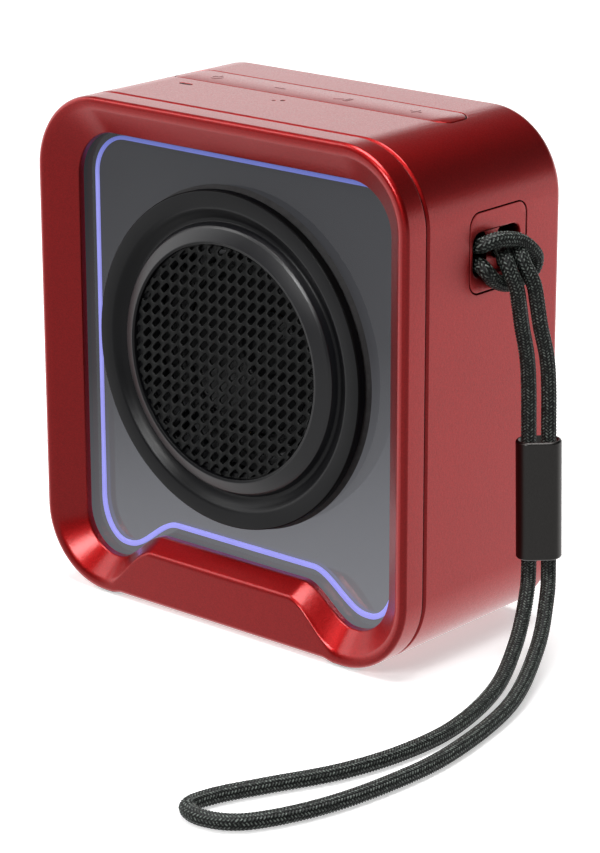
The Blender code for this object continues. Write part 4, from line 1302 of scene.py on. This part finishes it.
def dress_cad_nodes():
    looks = {
        "clear_window": (WINDOW, ["window_cover"]),
        "circuit_board": (BOARD, ["led_board", "main_board", "button_board"]),
        "black_plastic": (MATT, ["baffle", "lanyard_cup", "driver_cone"]),
        "plated_steel": (STEEL, ["driver_basket", "top_plate", "yoke"]),
        "black_steel": (BLACK_STEEL, []),
        "ferrite": (FERRITE, ["magnet"]),
        "black_rubber": (RUBBER, ["driver_surround"]),
        "satin_black": (SATIN, ["dust_cap"]),
        "copper": (COPPER, ["voice_coil"]),
        "amber_cloth": (CLOTH, ["driver_spider"]),
        "battery_wrap": (WRAP, ["battery_cell"]),
    }
    for i in range(1, 5):
        looks["black_steel"][1].append(f"driver_screw_{i}")
        looks["plated_steel"][1].append(f"tact_switch_{i}")
        looks["black_plastic"][1].append(f"tact_plunger_{i}")
    for slot, (look, names) in looks.items():
        for name in names:
            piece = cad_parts[name]
            piece.data.materials.clear()
            piece.data.materials.append(look)


# ---- studio


def area_light(name, place_at, aim, size, power):
    lamp = bpy.data.lights.new(name, "AREA")
    lamp.size = size
    lamp.energy = power
    made = add_object(name, lamp)
    made.location = place_at
    made.rotation_euler = (Vector(aim) - Vector(place_at)).to_track_quat("-Z", "Y").to_euler()


def build_world():
    """White backdrop behind the object, a dark room on the camera's side and a lamp overhead."""
    world = bpy.data.worlds.new("studio")
    bpy.context.scene.world = world
    world.use_nodes = True
    tree = world.node_tree
    direction = coordinates(tree, "Generated")
    height = node(tree, "SeparateXYZ", {"Vector": direction}).outputs["Z"]
    lean = 0.28
    behind = along_direction(direction, (-VIEW_SINE, VIEW_COSINE, 0.0))
    aside = along_direction(direction, (lean * VIEW_COSINE, lean * VIEW_SINE, 1.0))
    low = soft_step(aside, 1.0, 0.0, 0.33, 0.46)
    backdrop = calculate("MULTIPLY", room_sweep(behind, 0.02, 1.2), low)
    lamp = soft_step(height, 0.0, 1.2, 0.86, 0.97)
    room = calculate("ADD", calculate("ADD", backdrop, lamp), 0.03)
    seen = tree.nodes["Background"]
    feed(seen, {"Color": room})
    white = node(tree, "Background", {"Color": (1, 1, 1, 1), "Strength": 1.0})
    mix = mix_shaders(ray_is(tree, "Camera"), seen.outputs["Background"], white.outputs["Background"])
    set_surface(tree, "World Output", mix)


def build_studio():
    build_world()
    mesh = bpy.data.meshes.new("floor")
    reach = 4.0
    corners = [(-reach, -reach, 0), (reach, -reach, 0), (reach, reach, 0), (-reach, reach, 0)]
    mesh.from_pydata(corners, [], [(0, 1, 2, 3)])
    mesh.materials.append(floor_white())
    add_object("floor", mesh)
    middle = (0.0, 0.0, 0.05)
    area_light("overhead", (0.0, 0.0, 0.8), middle, 0.5, 5.0)
    area_light("left_front", (-0.45, -0.35, 0.6), middle, 0.3, 0.7)
    area_light("camera_side", (0.14, -0.56, 0.44), (-0.03, -0.02, 0.02), 0.22, 1.8)
    bpy.context.scene.view_settings.view_transform = "Standard"


def build_camera():
    """Long lens looking down at the front and the lanyard side."""
    elevation = math.radians(17.777)
    roll = math.radians(-0.13)
    distance = 0.59327
    target = Vector((3.45, -2.60, 36.71)) * MM
    level = math.cos(elevation)
    forward = Vector((-VIEW_SINE * level, VIEW_COSINE * level, -math.sin(elevation)))
    right = Vector((VIEW_COSINE, VIEW_SINE, 0.0))
    up = right.cross(forward)
    right, up = right * math.cos(roll) + up * math.sin(roll), up * math.cos(roll) - right * math.sin(roll)
    lens = bpy.data.cameras.new("camera")
    lens.sensor_width = 36.0
    lens.lens = 129.62
    lens.clip_start = 0.05
    lens.clip_end = 20.0
    camera = add_object("camera", lens)
    turn = Matrix((right, up, -forward)).transposed().to_4x4()
    camera.matrix_world = Matrix.Translation(target - forward * distance) @ turn
    bpy.context.scene.camera = camera


build_bezel()
build_shell()
build_rear_cover()
build_rear_grille()
build_foot_pad()
build_light_line()
build_panel_and_chips()
build_trim()
build_grille()
build_bass_radiator()
build_port()
build_rear_screws()
build_keys()
build_status_lens()
build_microphone_meshes()
build_lanyard_plate()
build_knot()
build_lanyard()
build_sleeve()
dress_cad_nodes()
build_studio()
build_camera()
